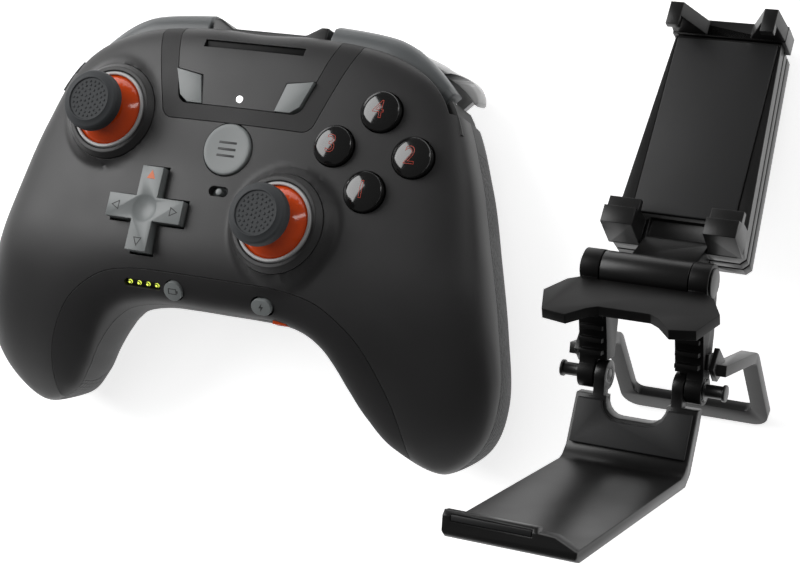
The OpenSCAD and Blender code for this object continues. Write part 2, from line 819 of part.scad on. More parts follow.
module liner_ring() {
    clear = dome_r + 0.3;
    far = ring_r + liner_t;
    rotate_extrude()
        polygon([
            [ring_r, sqrt(clear * clear - ring_r * ring_r) - pivot_drop], [ring_r + 0.2, 0.25], [far, 0.25],
            [far + 0.2, -0.3], [far + 0.2, sqrt(clear * clear - pow(far + 0.2, 2)) - pivot_drop]
        ]);
}
module stick_module(drop) {
    difference() {
        translate([-module_half, -module_half, -drop]) cube([2 * module_half, 2 * module_half, drop + module_rim]);
        translate([module_t - module_half, module_t - module_half, 1 - drop])
            cube([2 * (module_half - module_t), 2 * (module_half - module_t), drop + module_rim]);
        translate([-20, 0, 0]) rotate([0, 90, 0]) cylinder(r = trunnion_r + pin_gap, h = 40);
    }
}
module stick_yoke() {
    difference() {
        union() {
            translate([-yoke_half, -yoke_half, -yoke_t]) cube([2 * yoke_half, 2 * yoke_half, 2 * yoke_t]);
            translate([-module_half, 0, 0]) rotate([0, 90, 0]) cylinder(r = trunnion_r, h = 2 * module_half);
        }
        translate([-yoke_in, -yoke_in, -5]) cube([2 * yoke_in, 2 * yoke_in, 10]);
        translate([0, -20, 0]) rotate([-90, 0, 0]) cylinder(r = trunnion_r + pin_gap, h = 40);
    }
}
module stick_dome() {
    hub = 3.4;
    inner_r = dome_r - dome_t;
    steps = 10;
    start = asin(stem_r / dome_r) - 2;
    rotate_extrude()
        polygon(concat(
            [for (k = [0:steps]) let (a = mix(start, dome_edge, k / steps)) dome_r * [sin(a), cos(a)]],
            [for (k = [steps:-1:0]) let (a = mix(start, dome_edge, k / steps)) inner_r * [sin(a), cos(a)]]
        ));
    cylinder(r = stem_r, h = pivot_drop + cap_h - 2.4);
    translate([-hub, -hub, -1.7]) cube([2 * hub, 2 * hub, 3.4]);
    translate([0, -yoke_half, 0]) rotate([-90, 0, 0]) cylinder(r = trunnion_r, h = 2 * yoke_half);
}
module stick_cap() {
    top = pivot_drop + cap_h;
    neck = dome_r + 0.8;
    difference() {
        rotate_extrude()
            polygon([
                [0, neck], [4.8, neck], [5.2, neck + 0.3], [cap_r - 1, top - 4.2], [cap_r, top - 3.3],
                [cap_r, top - 1], [cap_r - 0.9, top], [cap_r - 2.2, top], [cap_r - 3, top - 0.5],
                [0, top - 0.3]
            ]);
        translate([0, 0, -1]) cylinder(r = stem_r + pin_gap, h = top - 0.6);
    }
}
module left_stick(drop = 0) {
    on_table() translate([left_stick_x, left_stick_y, left_ring_z - drop]) children();
}
module right_stick(drop = 0) {
    on_table() translate([right_stick_x, right_stick_y, right_ring_z - drop]) children();
}
module left_stick_collar() {
    color(shell_grey) left_stick() stick_collar();
}
module right_stick_collar() {
    color(shell_grey) right_stick() stick_collar();
}
module left_liner_ring() {
    color(liner_grey) left_stick() liner_ring();
}
module right_liner_ring() {
    color(liner_grey) right_stick() liner_ring();
}
module left_stick_module() {
    color(band_black) left_stick(pivot_drop) stick_module(left_ring_z - pivot_drop - board_top);
}
module right_stick_module() {
    color(band_black) right_stick(pivot_drop) stick_module(right_ring_z - pivot_drop - board_top);
}
module left_stick_yoke() {
    color(steel) left_stick(pivot_drop) stick_yoke();
}
module right_stick_yoke() {
    color(steel) right_stick(pivot_drop) stick_yoke();
}
module left_stick_dome() {
    color(dome_orange) left_stick(pivot_drop) stick_dome();
}
module right_stick_dome() {
    color(dome_orange) right_stick(pivot_drop) stick_dome();
}
module left_stick_cap() {
    color(rubber_grey) left_stick(pivot_drop) stick_cap();
}
module right_stick_cap() {
    color(rubber_grey) right_stick(pivot_drop) stick_cap();
}

// Direction pad on a gimbal: a ring that tips in a fixed fork, and the pad that tips in the ring
dpad_face = face_z(dpad_x, dpad_y);
dpad_rise = 2.5;
gimbal_z = dpad_face - 6.6;
gimbal_pin_r = 0.6;
socket_r = 3.8;
gimbal_r = 5.6;
fork_x = 6.4;
module at_dpad() {
    on_table() translate([dpad_x, dpad_y, 0]) children();
}
module direction_pad() {
    flange = dpad_face - wall - 1.1;
    color(key_grey) at_dpad()
        difference() {
            union() {
                cross(dpad_reach, dpad_arm, flange - 1, dpad_face + dpad_rise);
                translate([0, 0, flange - 1.4]) cylinder(r = 6.5, h = 0.8);
                translate([0, 0, gimbal_z - 1]) cylinder(r = socket_r, h = flange - gimbal_z + 0.6);
            }
            translate([0, -20, gimbal_z]) rotate([-90, 0, 0]) cylinder(r = gimbal_pin_r + pin_gap, h = 40);
            translate([0, 0, dpad_face + dpad_rise + 6.6]) sphere(r = 7.6);
        }
}
module gimbal_ring() {
    color(rubber_grey) at_dpad()
        translate([0, 0, gimbal_z]) {
            difference() {
                translate([0, 0, -0.8]) cylinder(r = gimbal_r, h = 1.6);
                translate([0, 0, -2]) cylinder(r = socket_r + 0.5, h = 4);
            }
            translate([0, 2.4, 0]) rotate([-90, 0, 0]) cylinder(r = gimbal_pin_r, h = gimbal_r - 2.9);
            translate([0, -2.4, 0]) rotate([90, 0, 0]) cylinder(r = gimbal_pin_r, h = gimbal_r - 2.9);
            translate([gimbal_r - 0.6, 0, 0]) rotate([0, 90, 0]) cylinder(r = gimbal_pin_r, h = fork_x + 1.8 - gimbal_r);
            translate([0.6 - gimbal_r, 0, 0]) rotate([0, -90, 0]) cylinder(r = gimbal_pin_r, h = fork_x + 1.8 - gimbal_r);
        }
}
module direction_stud() {
    color(band_black) at_dpad()
        difference() {
            union() {
                for (x = [-fork_x - 1.2, fork_x]) {
                    translate([x, -1.4, board_top]) cube([1.2, 2.8, gimbal_z + 1.1 - board_top]);
                }
                translate([-fork_x - 1.2, -1.4, board_top]) cube([2 * fork_x + 2.4, 2.8, 1]);
            }
            translate([-20, 0, gimbal_z]) rotate([0, 90, 0]) cylinder(r = gimbal_pin_r + pin_gap, h = 40);
        }
}

// Face buttons with a domed top, a flange under the face and a stem
stem_end = board_top + 3.4;
flange_drop = 3.9;
button_rise = 2.4;
module face_button(turn) {
    p = group_place(turn);
    face = face_z(p[0], p[1]);
    dome = (button_r * button_r + 1) / 2;
    color(gloss_black) on_table()
        translate([p[0], p[1], 0]) {
            intersection() {
                translate([0, 0, face - flange_drop]) cylinder(r = button_r, h = flange_drop + button_rise);
                translate([0, 0, face + button_rise - dome]) sphere(r = dome);
            }
            translate([0, 0, face - flange_drop - 0.8]) cylinder(r = button_r + 0.8, h = 0.8);
            translate([0, 0, stem_end]) cylinder(r = 3, h = face - flange_drop - stem_end);
        }
}
module north_button() {
    face_button(0);
}
module east_button() {
    face_button(90);
}
module south_button() {
    face_button(180);
}
module west_button() {
    face_button(270);
}

module menu_button() {
    face = face_z(0, menu_y);
    color(key_grey) on_table()
        translate([0, menu_y, 0])
            rotate_extrude()
                polygon([
                    [0, stem_end], [3, stem_end], [3, face - flange_drop - 0.8],
                    [menu_r + 0.8, face - flange_drop - 0.8], [menu_r + 0.8, face - flange_drop],
                    [menu_r, face - flange_drop], [menu_r, face + 0.4], [menu_r - 0.4, face + 0.7], [0, face + 0.7]
                ]);
}

module key(points, middle) {
    face = face_z(middle[0], middle[1]);
    translate([0, 0, face - flange_drop]) linear_extrude(height = flange_drop + 0.5) polygon(points);
    translate([middle[0] - 4.6, middle[1] - 4.6, face - flange_drop - 0.8]) cube([9.2, 9.2, 0.8]);
    translate([middle[0], middle[1], stem_end]) cylinder(r = 2, h = face - flange_drop - stem_end);
}
module select_button() {
    color(key_grey) on_table() key(select_outline, flip_x(key_middle));
}
module start_button() {
    color(key_grey) on_table() key(start_outline, key_middle);
}

// Slide switch: a nub on a plate under the face
module mode_switch() {
    face = face_z(0, switch_y);
    plate = face - wall - 0.5;
    color(key_grey) on_table()
        translate([0, switch_y, 0]) {
            translate([0, 0, plate - 1]) cylinder(r = switch_r - 0.4, h = wall + 1.4);
            translate([-3.2, -2.2, plate - 1]) cube([6.4, 4.4, 1]);
            translate([-1, -1, stem_end]) cube([2, 2, plate - 1 - stem_end]);
        }
}

module battery_button() {
    color(key_grey) on_table() on_low_band(battery_button_x, battery_button_y) {
        translate([0, 0, -3.8]) cylinder(r = battery_button_r, h = 4.5);
        translate([-1.5, -1, -4.5]) cube([3, 5.2, 1]);
    }
}
module assist_button() {
    color(key_grey) on_table() on_low_band(assist_x, assist_y) {
        round_slot(0, 0, assist_half, assist_r, -2.2, 0.8);
        translate([-1.5, -1, -4]) cube([2.6, 2, 2]);
        translate([-1.5, -1, -4.5]) cube([2.6, 5, 1]);
    }
}

module battery_lights() {
    color([0.75, 0.8, 0.3]) on_table() {
        on_low_band(lights_x, lights_y) {
            round_slot(0, 0, lights_half - 0.1, 1.1 - seam, -2.4, -0.9);
            for (k = [-1.5:1.5]) {
                translate([k * light_step, 0, -1.5]) cylinder(r = 0.55, h = 1.2);
            }
        }
        translate([lights_x, lights_y + 1.6, board_top])
            cylinder(r = 0.6, h = face_z(lights_x, lights_y) - 1.5 - board_top);
    }
}
module status_light() {
    color([0.95, 0.95, 0.95]) on_table()
        translate([0, light_y, board_top]) {
            cylinder(r = light_r, h = face_z(0, light_y) + 0.15 - board_top);
            cylinder(r = 1.5, h = 4);
        }
}

// Main board, battery and button membrane
board_half = [[16, face_top - 8.8], [33, face_top - 9.2], [45, 20], [49, 2], [40, -18], [26, 4.5 - face_bottom]];
module main_board() {
    color([0.1, 0.35, 0.2]) on_table()
        difference() {
            translate([0, 0, board_top - board_t]) linear_extrude(height = board_t) polygon(mirrored(board_half));
            for (p = screw_places) {
                translate([p[0], p[1], board_top - 4]) cylinder(r = screw_r + 0.2, h = 8);
            }
        }
}
cell_y = 5;
cell_stand = 3;
cell_t = cell_fill * (body_depth - wall + board_top - board_t - cell_stand);
module battery_cell() {
    color([0.55, 0.57, 0.6]) on_table()
        translate([-cell_l / 2, cell_y - cell_w / 2, board_top - board_t - cell_stand - cell_t]) {
            cube([cell_l, cell_w, cell_t]);
            translate([cell_l / 4, cell_w - 6, cell_t]) cube([cell_l / 2, 4, cell_stand]);
        }
}
module button_membrane() {
    bump = stem_end - button_travel - 0.3;
    color([0.75, 0.75, 0.72]) on_table() {
        translate([group_x, group_y, board_top])
            difference() {
                cylinder(r = group_r + 4, h = 0.8);
                translate([0, 0, -1]) cylinder(r = 3, h = 3);
            }
        for (turn = [0:90:270]) {
            translate([group_place(turn)[0], group_place(turn)[1], board_top]) cylinder(r = 3.2, h = bump - board_top);
        }
        translate([0, menu_y, board_top]) cylinder(r = 3.2, h = bump - board_top);
        for (side = [-1, 1]) {
            translate([side * key_middle[0], key_middle[1], board_top]) cylinder(r = 2.4, h = bump - board_top);
        }
        for (x = [battery_button_x, assist_x]) {
            translate([x - 1.4, 4.6 - face_bottom, board_top]) cube([2.8, 2, 3.8]);
        }
    }
}
module port_insert() {
    color(dome_orange) on_table()
        difference() {
            translate([port_x - port_w / 2, -face_bottom - 1, port_z - port_h / 2]) cube([port_w, 11, port_h]);
            translate([port_x - port_w / 2 + 0.6, -face_bottom - 2, port_z - port_h / 2 + 0.6])
                cube([port_w - 1.2, 4, port_h - 1.2]);
        }
}
module housing_screws() {
    color(steel) on_table()
        for (p = screw_places) {
            translate([p[0], p[1], p[2] + seat_depth - 1.6]) cylinder(r = screw_head_r, h = 1.6);
            translate([p[0], p[1], p[2] + seat_depth - 0.4])
                cylinder(r = screw_r, h = board_top + 5 - p[2] - seat_depth);
        }
}

// Clip base: wall with a round notch, tray and lip, on two knuckles
knuckle_in = 7.9;
knuckle_mid = 10.5;
knuckle_out = 14.6;
knuckle_r = 3.4;
tray_t = 2.6;
lip_h = 3.2;
lip_t = 3.2;
lip_step = 5.4;
lip_ramp = 9.6;
notch_half = 7.2;
notch_r = 3.8;
notch_z = -4.6;
pad_t = 0.9;
jaw_gap = 0.3;
function wall_front(z) = -3.2 - 0.38 * (-z - 4.2);
module clip_base() {
    top = -tray_drop;
    low = top - tray_t;
    lip_y = -tray_reach;
    color(clip_black) clip_on_table()
        difference() {
            union() {
                rotate([90, 0, 90])
                    translate([0, 0, -tray_half_w])
                        linear_extrude(height = 2 * tray_half_w)
                            polygon([
                                [wall_front(-4.2), -4.2], [-0.2, -4.2], [-1.4, -9], [-4.6, low + 2.4], [-7.4, low],
                                [lip_y + 1.2, low], [lip_y, low + 1], [lip_y, top + lip_h - 1],
                                [lip_y + 1, top + lip_h], [lip_y + lip_t, top + lip_h - 0.4], [lip_y + lip_t, top],
                                [wall_front(top) - 2.6, top], [wall_front(top) - 1, top + 0.6],
                                [wall_front(top + 2.6), top + 2.6]
                            ]);
                for (x = [-knuckle_mid, knuckle_in]) {
                    translate([x, 0, 0]) rotate([0, 90, 0]) cylinder(r = knuckle_r, h = knuckle_mid - knuckle_in);
                    translate([x, -3.2, -6]) cube([knuckle_mid - knuckle_in, 3, 6]);
                }
            }
            wall_notch(0);
            translate([-20, 0, 0]) rotate([0, 90, 0]) cylinder(r = pivot_pin_r + pin_gap, h = 40);
            for (x = [-tray_half_w - 1, knuckle_mid]) {
                translate([x, 0, 0]) rotate([0, 90, 0])
                    cylinder(r = knuckle_r + 0.7, h = tray_half_w + 1 - knuckle_mid);
            }
            translate([1.8 - tray_half_w, lip_y - 1, top + 1.2])
                cube([tray_half_w + lip_step - 2.4, 1.7, 1.4]);
            translate([0, lip_y + lip_t + 0.4, 0]) rotate([90, 0, 0])
                linear_extrude(height = lip_t + 1.4)
                    polygon([
                        [lip_step, top + lip_h + 1], [lip_step + 0.6, top + lip_h - 1], [lip_ramp, top + lip_h - 1.2],
                        [tray_half_w - 0.4, top], [tray_half_w + 1, top], [tray_half_w + 1, top + lip_h + 1]
                    ]);
        }
}
module wall_notch(grow) {
    half = notch_half - notch_r;
    translate([0, 10, 0]) rotate([90, 0, 0])
        linear_extrude(height = 30)
            polygon(mirrored(concat(
                [[notch_half + grow, 6]],
                corner_arc([half, notch_z], notch_r + grow, 0, -90, 5)
            )));
}
module wall_pad() {
    low = 3.4 - tray_drop;
    color(rubber_grey) clip_on_table()
        difference() {
            rotate([90, 0, 90])
                translate([0, 0, 0.8 - tray_half_w])
                    linear_extrude(height = 2 * (tray_half_w - 0.8))
                        polygon([
                            [wall_front(-5), -5], [wall_front(-5) - pad_t, -5], [wall_front(low) - pad_t, low],
                            [wall_front(low), low]
                        ]);
            wall_notch(0.6);
        }
}
module lip_pad() {
    color(rubber_grey) clip_on_table()
        translate([1.9 - tray_half_w, -tray_reach, 1.3 - tray_drop])
            cube([tray_half_w + lip_step - 2.6, 0.7, 1.2]);
}

// Jaw: two ribbed columns with knuckles, a notched plate and the ends of the hinge barrel
barrel_y = -1.8;
column_in = 8;
plate_slope = 21;
plate_t = 2.4;
collar_in = 10.5;
barrel_bore = 1.5;
plate_half = [[0, 3], [13, 3], [17, 0.3], [20.3, -5.6], [17.6, -13.4], [11.8, -14.5], [8.2, -10.7], [6, -9.4],
    [0, -9.4]];
module jaw_side() {
    translate([column_in, 0, 0]) rotate([90, 0, 90])
        linear_extrude(height = knuckle_out - column_in)
            polygon([
                [-2.4, 3.8], [2.4, 3.8], [3, 12], [2.4, barrel_z - 2], [barrel_y - 3.6, barrel_z - 2], [-5.2, 14],
                [-3.4, 8]
            ]);
    translate([knuckle_mid + jaw_gap, 0, 0]) rotate([0, 90, 0])
        cylinder(r = knuckle_r, h = knuckle_out - knuckle_mid - jaw_gap);
    translate([knuckle_mid + jaw_gap, -2.4, 0]) cube([knuckle_out - knuckle_mid - jaw_gap, 4.8, 4]);
    translate([collar_in, barrel_y, barrel_z]) rotate([0, 90, 0])
        cylinder(r = barrel_r, h = barrel_half_l - collar_in);
    for (k = [0:3]) {
        translate([column_in + 0.6, -5.2 - 0.3 * k, 5.2 + 2.9 * k]) cube([5.4, 3, 1]);
    }
}
module clip_jaw() {
    color(clip_black) clip_on_table()
        difference() {
            union() {
                jaw_side();
                mirror([1, 0, 0]) jaw_side();
                translate([0, -7.8, barrel_z - 2.5]) rotate([plate_slope, 0, 0])
                    translate([0, 0, -plate_t]) linear_extrude(height = plate_t) polygon(mirrored(plate_half));
            }
            translate([-30, 0, 0]) rotate([0, 90, 0]) cylinder(r = pivot_pin_r, h = 60);
            for (x = [-knuckle_out - 1, knuckle_mid + 1]) {
                translate([x, 0, 0]) rotate([0, 90, 0]) cylinder(r = 2.6, h = knuckle_out - knuckle_mid);
            }
            translate([-30, barrel_y, barrel_z]) rotate([0, 90, 0]) cylinder(r = barrel_bore, h = 60);
            translate([-collar_in, barrel_y, barrel_z]) rotate([0, 90, 0])
                cylinder(r = barrel_r + 0.5, h = 2 * collar_in);
        }
}

// Rear lever: a flat bail bent up, back and down, with a cross bar
bail_in = 14.9;
bail_w = 3.7;
bail_t = 2.6;
apex = [25.8, 3.6];
heel = [43, -15.6];
foot = [1.4, 4.6];
first_run = (apex - foot) / norm(apex - foot);
second_run = (heel - apex) / norm(heel - apex);
function across(d) = [-d[1], d[0]] * bail_t / 2;
bend = (across(first_run) + across(second_run)) / (1 + first_run * second_run);
module bail_arm() {
    translate([bail_in, 0, 0]) rotate([90, 0, 90])
        linear_extrude(height = bail_w)
            polygon([
                foot - across(first_run), apex - bend, heel - across(second_run), heel + across(second_run),
                apex + bend, foot + across(first_run)
            ]);
    translate([bail_in, 0, 0]) rotate([90, 0, 90])
        linear_extrude(height = 1.6) polygon([[-1.6, 5.2], [2.2, 1.8], [9, 4.4], [2, 9.5]]);
    translate([knuckle_out, -1.6, 4.8]) cube([bail_in - knuckle_out + 0.4, 3.2, 3.6]);
}
module rear_lever() {
    bar = heel - 5 * second_run;
    color(clip_black) clip_on_table() {
        bail_arm();
        mirror([1, 0, 0]) bail_arm();
        translate([-bail_in - 1, 0, 0]) rotate([90, 0, 90])
            linear_extrude(height = 2 * bail_in + 2)
                polygon([
                    bar - across(second_run), heel - across(second_run), heel + across(second_run),
                    bar + across(second_run)
                ]);
    }
}

module pin_side() {
    rotate([0, 90, 0]) {
        translate([0, 0, knuckle_in]) cylinder(r = pivot_pin_r, h = pivot_half_l - knuckle_in);
        translate([0, 0, knuckle_out + 0.05]) cylinder(r = pivot_pin_r + 1, h = 0.2);
        translate([0, 0, bail_in + bail_w + 0.2]) cylinder(r = pivot_pin_r + 0.4, h = 0.7);
    }
}
module pivot_pins() {
    color(clip_black) clip_on_table() {
        pin_side();
        mirror([1, 0, 0]) pin_side();
    }
}
module jaw_spring() {
    translate([knuckle_mid + 1.2, 0, 0]) rotate([0, 90, 0])
        difference() {
            cylinder(r = 2.4, h = knuckle_out - knuckle_mid - 1.5);
            translate([0, 0, -1]) cylinder(r = pivot_pin_r + 0.15, h = 9);
        }
}
module jaw_springs() {
    color(steel) clip_on_table() {
        jaw_spring();
        mirror([1, 0, 0]) jaw_spring();
    }
}
module barrel_pin() {
    color(clip_black) clip_on_table()
        translate([0, barrel_y, barrel_z]) rotate([0, 90, 0]) {
            translate([0, 0, -barrel_half_l]) cylinder(r = barrel_bore, h = 2 * barrel_half_l);
            translate([0, 0, -barrel_half_l - 0.5]) cylinder(r = barrel_r - 0.9, h = 0.5);
            translate([0, 0, barrel_half_l]) cylinder(r = barrel_r - 0.9, h = 0.5);
        }
}

// Cradle: sleeve on the hinge barrel, arm, frame with the lower claws, and a channel for the slider
sleeve_half = 10.2;
cradle_at = [0, 18.6, 35];
cradle_t = 10;
back_rise = 2.8;
cradle_foot = 8.2;
cradle_top = phone_pad_l + 0.6;
cradle_top_half = cradle_half_w - 3.2;
channel_half = 10.4;
channel_y = [3, 5.4];
claw_in = 8.4;
claw_out = 16;
slide_gap = 0.2;
module in_cradle() {
    clip_on_table() translate(cradle_at) rotate([-cradle_lean, 0, 0]) children();
}
module upright(low, deep) {
    translate([0, low + deep, 0]) rotate([90, 0, 0]) linear_extrude(height = deep) children();
}
module lower_claw() {
    translate([claw_in, 0, 0]) rotate([90, 0, 90])
        linear_extrude(height = claw_out - claw_in)
            polygon([
                [0.4, -8.2], [-claw_depth, -6.8], [-claw_depth, -2.6], [1.9 - claw_depth, -2.2],
                [2.1 - claw_depth, 0.6], [3.7 - claw_depth, 0.6], [3.9 - claw_depth, -1.6], [0.4, -1.6]
            ]);
}
module cradle_frame() {
    color(clip_black) {
        in_cradle() {
            difference() {
                upright(0, cradle_t)
                    polygon([
                        [1.2 - cradle_half_w, -cradle_foot], [cradle_half_w - 1.2, -cradle_foot],
                        [cradle_half_w, 1.2 - cradle_foot], [cradle_top_half, cradle_top],
                        [-cradle_top_half, cradle_top], [-cradle_half_w, 1.2 - cradle_foot]
                    ]);
                translate([-channel_half, channel_y[0], 4])
                    cube([2 * channel_half, channel_y[1] - channel_y[0], cradle_top]);
                translate([-phone_pad_half_w - seam, -1, -seam])
                    cube([2 * (phone_pad_half_w + seam), 1.8, phone_pad_l + 2 * seam]);
                translate([1 - claw_in, -1, 1.2 - cradle_foot]) cube([2 * (claw_in - 1), 2.6, cradle_foot - 2.2]);
            }
            translate([-channel_half, cradle_t - 1, 5]) cube([2 * channel_half, back_rise + 1, phone_pad_l - 6]);
            lower_claw();
            mirror([1, 0, 0]) lower_claw();
        }
        clip_on_table()
            difference() {
                union() {
                    translate([-sleeve_half, barrel_y, barrel_z]) rotate([0, 90, 0])
                        cylinder(r = barrel_r - 0.1, h = 2 * sleeve_half);
                    translate([jaw_gap - column_in, 0, 0]) rotate([90, 0, 90])
                        linear_extrude(height = 2 * (column_in - jaw_gap))
                            polygon([
                                [barrel_y, barrel_z - 3.6], [10, barrel_z - 3.4], [20.6, barrel_z - 1.4],
                                [23, barrel_z + 3], [16.4, barrel_z + 5.6], [8, barrel_z + 2.4],
                                [barrel_y, barrel_z + 3.6]
                            ]);
                }
                translate([-30, barrel_y, barrel_z]) rotate([0, 90, 0])
                    cylinder(r = barrel_bore + pin_gap, h = 60);
            }
    }
}
module phone_pad() {
    color(rubber_grey) in_cradle()
        translate([-phone_pad_half_w, -0.5, 0]) cube([2 * phone_pad_half_w, 1.3, phone_pad_l]);
}
// Upper claw: a tapering arm with a hanging lip
module upper_claw() {
    base = cradle_top + 0.3;
    translate([0, 0, base + 0.3])
        linear_extrude(height = 3.6)
            polygon([[4.6, 1], [13.8, 1], [13, -claw_depth - 0.5], [9.8, -claw_depth - 0.5]]);
    translate([9.8, -claw_depth - 0.5, base - 2]) cube([3.2, 1.8, 3]);
}
module cradle_slider() {
    base = cradle_top + 0.3;
    color(clip_black) in_cradle() {
        translate([slide_gap - channel_half, channel_y[0] + slide_gap, 14])
            cube([2 * (channel_half - slide_gap), channel_y[1] - channel_y[0] - 2 * slide_gap, base - 13]);
        translate([-13.8, -0.4, base]) cube([27.6, 6.4, 4.2]);
        upper_claw();
        mirror([1, 0, 0]) upper_claw();
    }
}
module slider_spring() {
    color(steel) in_cradle()
        translate([-4, (channel_y[0] + channel_y[1]) / 2, 5.3]) rotate([0, 90, 0]) cylinder(r = 1.1, h = 8);
}

front_shell();
rear_shell();
centre_panel();
panel_band();
lower_band();
left_grip();
right_grip();
shoulder_bridge();
shoulder_frame();
left_bumper();
right_bumper();
left_trigger();
right_trigger();
shoulder_pins();
trigger_springs();
slot_bar();
left_stick_collar();
right_stick_collar();
left_liner_ring();
right_liner_ring();
left_stick_module();
right_stick_module();
left_stick_yoke();
right_stick_yoke();
left_stick_dome();
right_stick_dome();
left_stick_cap();
right_stick_cap();
direction_pad();
gimbal_ring();
direction_stud();
north_button();
east_button();
south_button();
west_button();
menu_button();
select_button();
start_button();
mode_switch();
battery_button();
assist_button();
battery_lights();
status_light();
main_board();
battery_cell();
button_membrane();
port_insert();
housing_screws();
clip_base();
wall_pad();
lip_pad();
clip_jaw();
rear_lever();
pivot_pins();
jaw_springs();
barrel_pin();
cradle_frame();
phone_pad();
cradle_slider();
slider_spring();
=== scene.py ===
import math

import bpy
from mathutils import Matrix, Vector


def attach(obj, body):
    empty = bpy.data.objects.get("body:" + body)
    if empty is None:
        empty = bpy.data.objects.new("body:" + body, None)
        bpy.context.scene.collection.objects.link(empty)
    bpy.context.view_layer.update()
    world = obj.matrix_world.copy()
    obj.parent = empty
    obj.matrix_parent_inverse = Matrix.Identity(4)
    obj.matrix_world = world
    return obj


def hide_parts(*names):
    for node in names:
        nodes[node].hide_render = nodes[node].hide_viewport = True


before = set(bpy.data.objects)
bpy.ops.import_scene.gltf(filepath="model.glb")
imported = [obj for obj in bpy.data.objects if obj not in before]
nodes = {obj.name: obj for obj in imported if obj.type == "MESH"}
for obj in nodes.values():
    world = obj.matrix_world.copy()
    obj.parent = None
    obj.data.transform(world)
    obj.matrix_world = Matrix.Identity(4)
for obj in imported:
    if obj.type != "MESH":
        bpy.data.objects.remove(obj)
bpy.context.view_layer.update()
print("frame loaded with", len(nodes), "nodes")

# The pad and the clip are drawn in millimetres in their own frames and then laid on the table
mm = 0.001
weldGap = 0.004  # closes the seams of a new mesh, in millimetres
padPlace = {"at": (-31.8, 4.3, 37.55), "tilt": -14}
clipPlace = {"at": (87.0, -25.4, 45.3), "tilt": -84}
cradlePlace = {"at": (0, 18.6, 35), "tilt": -30.6}  # inside the clip's own frame


def turned(degrees, axis):
    return Matrix.Rotation(math.radians(degrees), 4, axis)


def shifted(x, y, z=0):
    return Matrix.Translation((x, y, z))


def laid(place):
    return shifted(*place["at"]) @ turned(place["tilt"], "X")


padToTable = Matrix.Scale(mm, 4) @ laid(padPlace)
clipToTable = Matrix.Scale(mm, 4) @ laid(clipPlace)
cradleToTable = clipToTable @ laid(cradlePlace)


# Small working steps
def clearSelection():
    if bpy.context.mode != "OBJECT":
        bpy.ops.object.mode_set(mode="OBJECT")
    bpy.ops.object.select_all(action="DESELECT")


def pick(piece):
    clearSelection()
    piece.select_set(True)
    bpy.context.view_layer.objects.active = piece
    return piece


def editAll(piece):
    pick(piece)
    bpy.ops.object.mode_set(mode="EDIT")
    bpy.ops.mesh.select_all(action="SELECT")


def mended(piece, weld=weldGap):
    editAll(piece)
    bpy.ops.mesh.remove_doubles(threshold=weld)
    bpy.ops.mesh.dissolve_degenerate(threshold=weld)
    bpy.ops.mesh.select_all(action="SELECT")
    bpy.ops.mesh.normals_make_consistent(inside=False)
    bpy.ops.object.mode_set(mode="OBJECT")
    return piece


def modify(piece, kind, **settings):
    pick(piece)
    modifier = piece.modifiers.new("step", kind)
    for name, value in settings.items():
        setattr(modifier, name, value)
    bpy.ops.object.modifier_apply(modifier=modifier.name)
    return piece


def cut(piece, *tools, operation="DIFFERENCE"):
    for tool in tools:
        modify(piece, "BOOLEAN", operation=operation, solver="EXACT", object=tool)
        bpy.data.objects.remove(tool)
    return piece


def joined(*pieces):
    clearSelection()
    for piece in pieces:
        piece.select_set(True)
    bpy.context.view_layer.objects.active = pieces[0]
    if len(pieces) > 1:
        bpy.ops.object.join()
    return bpy.context.object


def copied(piece):
    twin = piece.copy()
    twin.data = piece.data.copy()
    bpy.context.collection.objects.link(twin)
    return twin


def rounded(piece, width, segments=2, sharper=35):
    return modify(piece, "BEVEL", width=width, segments=segments, limit_method="ANGLE",
                  angle_limit=math.radians(sharper), use_clamp_overlap=True)


def prism(outline, low, high):
    clearSelection()
    bpy.ops.mesh.primitive_circle_add(vertices=len(outline), radius=1, fill_type="NGON")
    piece = bpy.context.object
    for vertex, point in zip(piece.data.vertices, outline):
        vertex.co = (point[0], point[1], low)
    editAll(piece)
    bpy.ops.mesh.extrude_region_move(TRANSFORM_OT_translate={"value": (0, 0, high - low)})
    return mended(piece)


def rod(x, y, radius, low, high, vertices=64):
    clearSelection()
    bpy.ops.mesh.primitive_cylinder_add(vertices=vertices, radius=radius, depth=high - low,
                                        location=(x, y, (low + high) / 2))
    bpy.ops.object.transform_apply(location=True, rotation=False, scale=False)
    return bpy.context.object


def block(low, high):
    clearSelection()
    bpy.ops.mesh.primitive_cube_add(size=1, location=[(a + b) / 2 for a, b in zip(low, high)],
                                    scale=[b - a for a, b in zip(low, high)])
    bpy.ops.object.transform_apply(location=True, rotation=False, scale=True)
    return bpy.context.object


def lathe(profile, steps=96, weld=0.001):
    clearSelection()
    bpy.ops.mesh.primitive_circle_add(vertices=len(profile), radius=1, fill_type="NOTHING")
    piece = bpy.context.object
    for vertex, point in zip(piece.data.vertices, profile):
        vertex.co = (point[0], 0, point[1])
    modify(piece, "SCREW", angle=math.tau, steps=steps, render_steps=steps, axis="Z",
           use_merge_vertices=True, merge_threshold=weld)
    return mended(piece, weld)


def loft(rows):
    # each row is a closed section, and the first and last rows are closed by a face or shrink to a point
    across, along = len(rows[0]), len(rows)
    clearSelection()
    bpy.ops.mesh.primitive_grid_add(x_subdivisions=across, y_subdivisions=along - 1, size=1)
    piece = bpy.context.object
    for index, vertex in enumerate(piece.data.vertices):
        row, place = divmod(index, across + 1)
        vertex.co = rows[row][place % across]
    editAll(piece)
    bpy.ops.mesh.remove_doubles(threshold=weldGap)
    bpy.ops.mesh.select_all(action="DESELECT")
    bpy.ops.mesh.select_mode(type="EDGE")
    bpy.ops.mesh.select_non_manifold()
    bpy.ops.mesh.fill_holes(sides=0)
    bpy.ops.mesh.select_mode(type="VERT")
    return mended(piece)


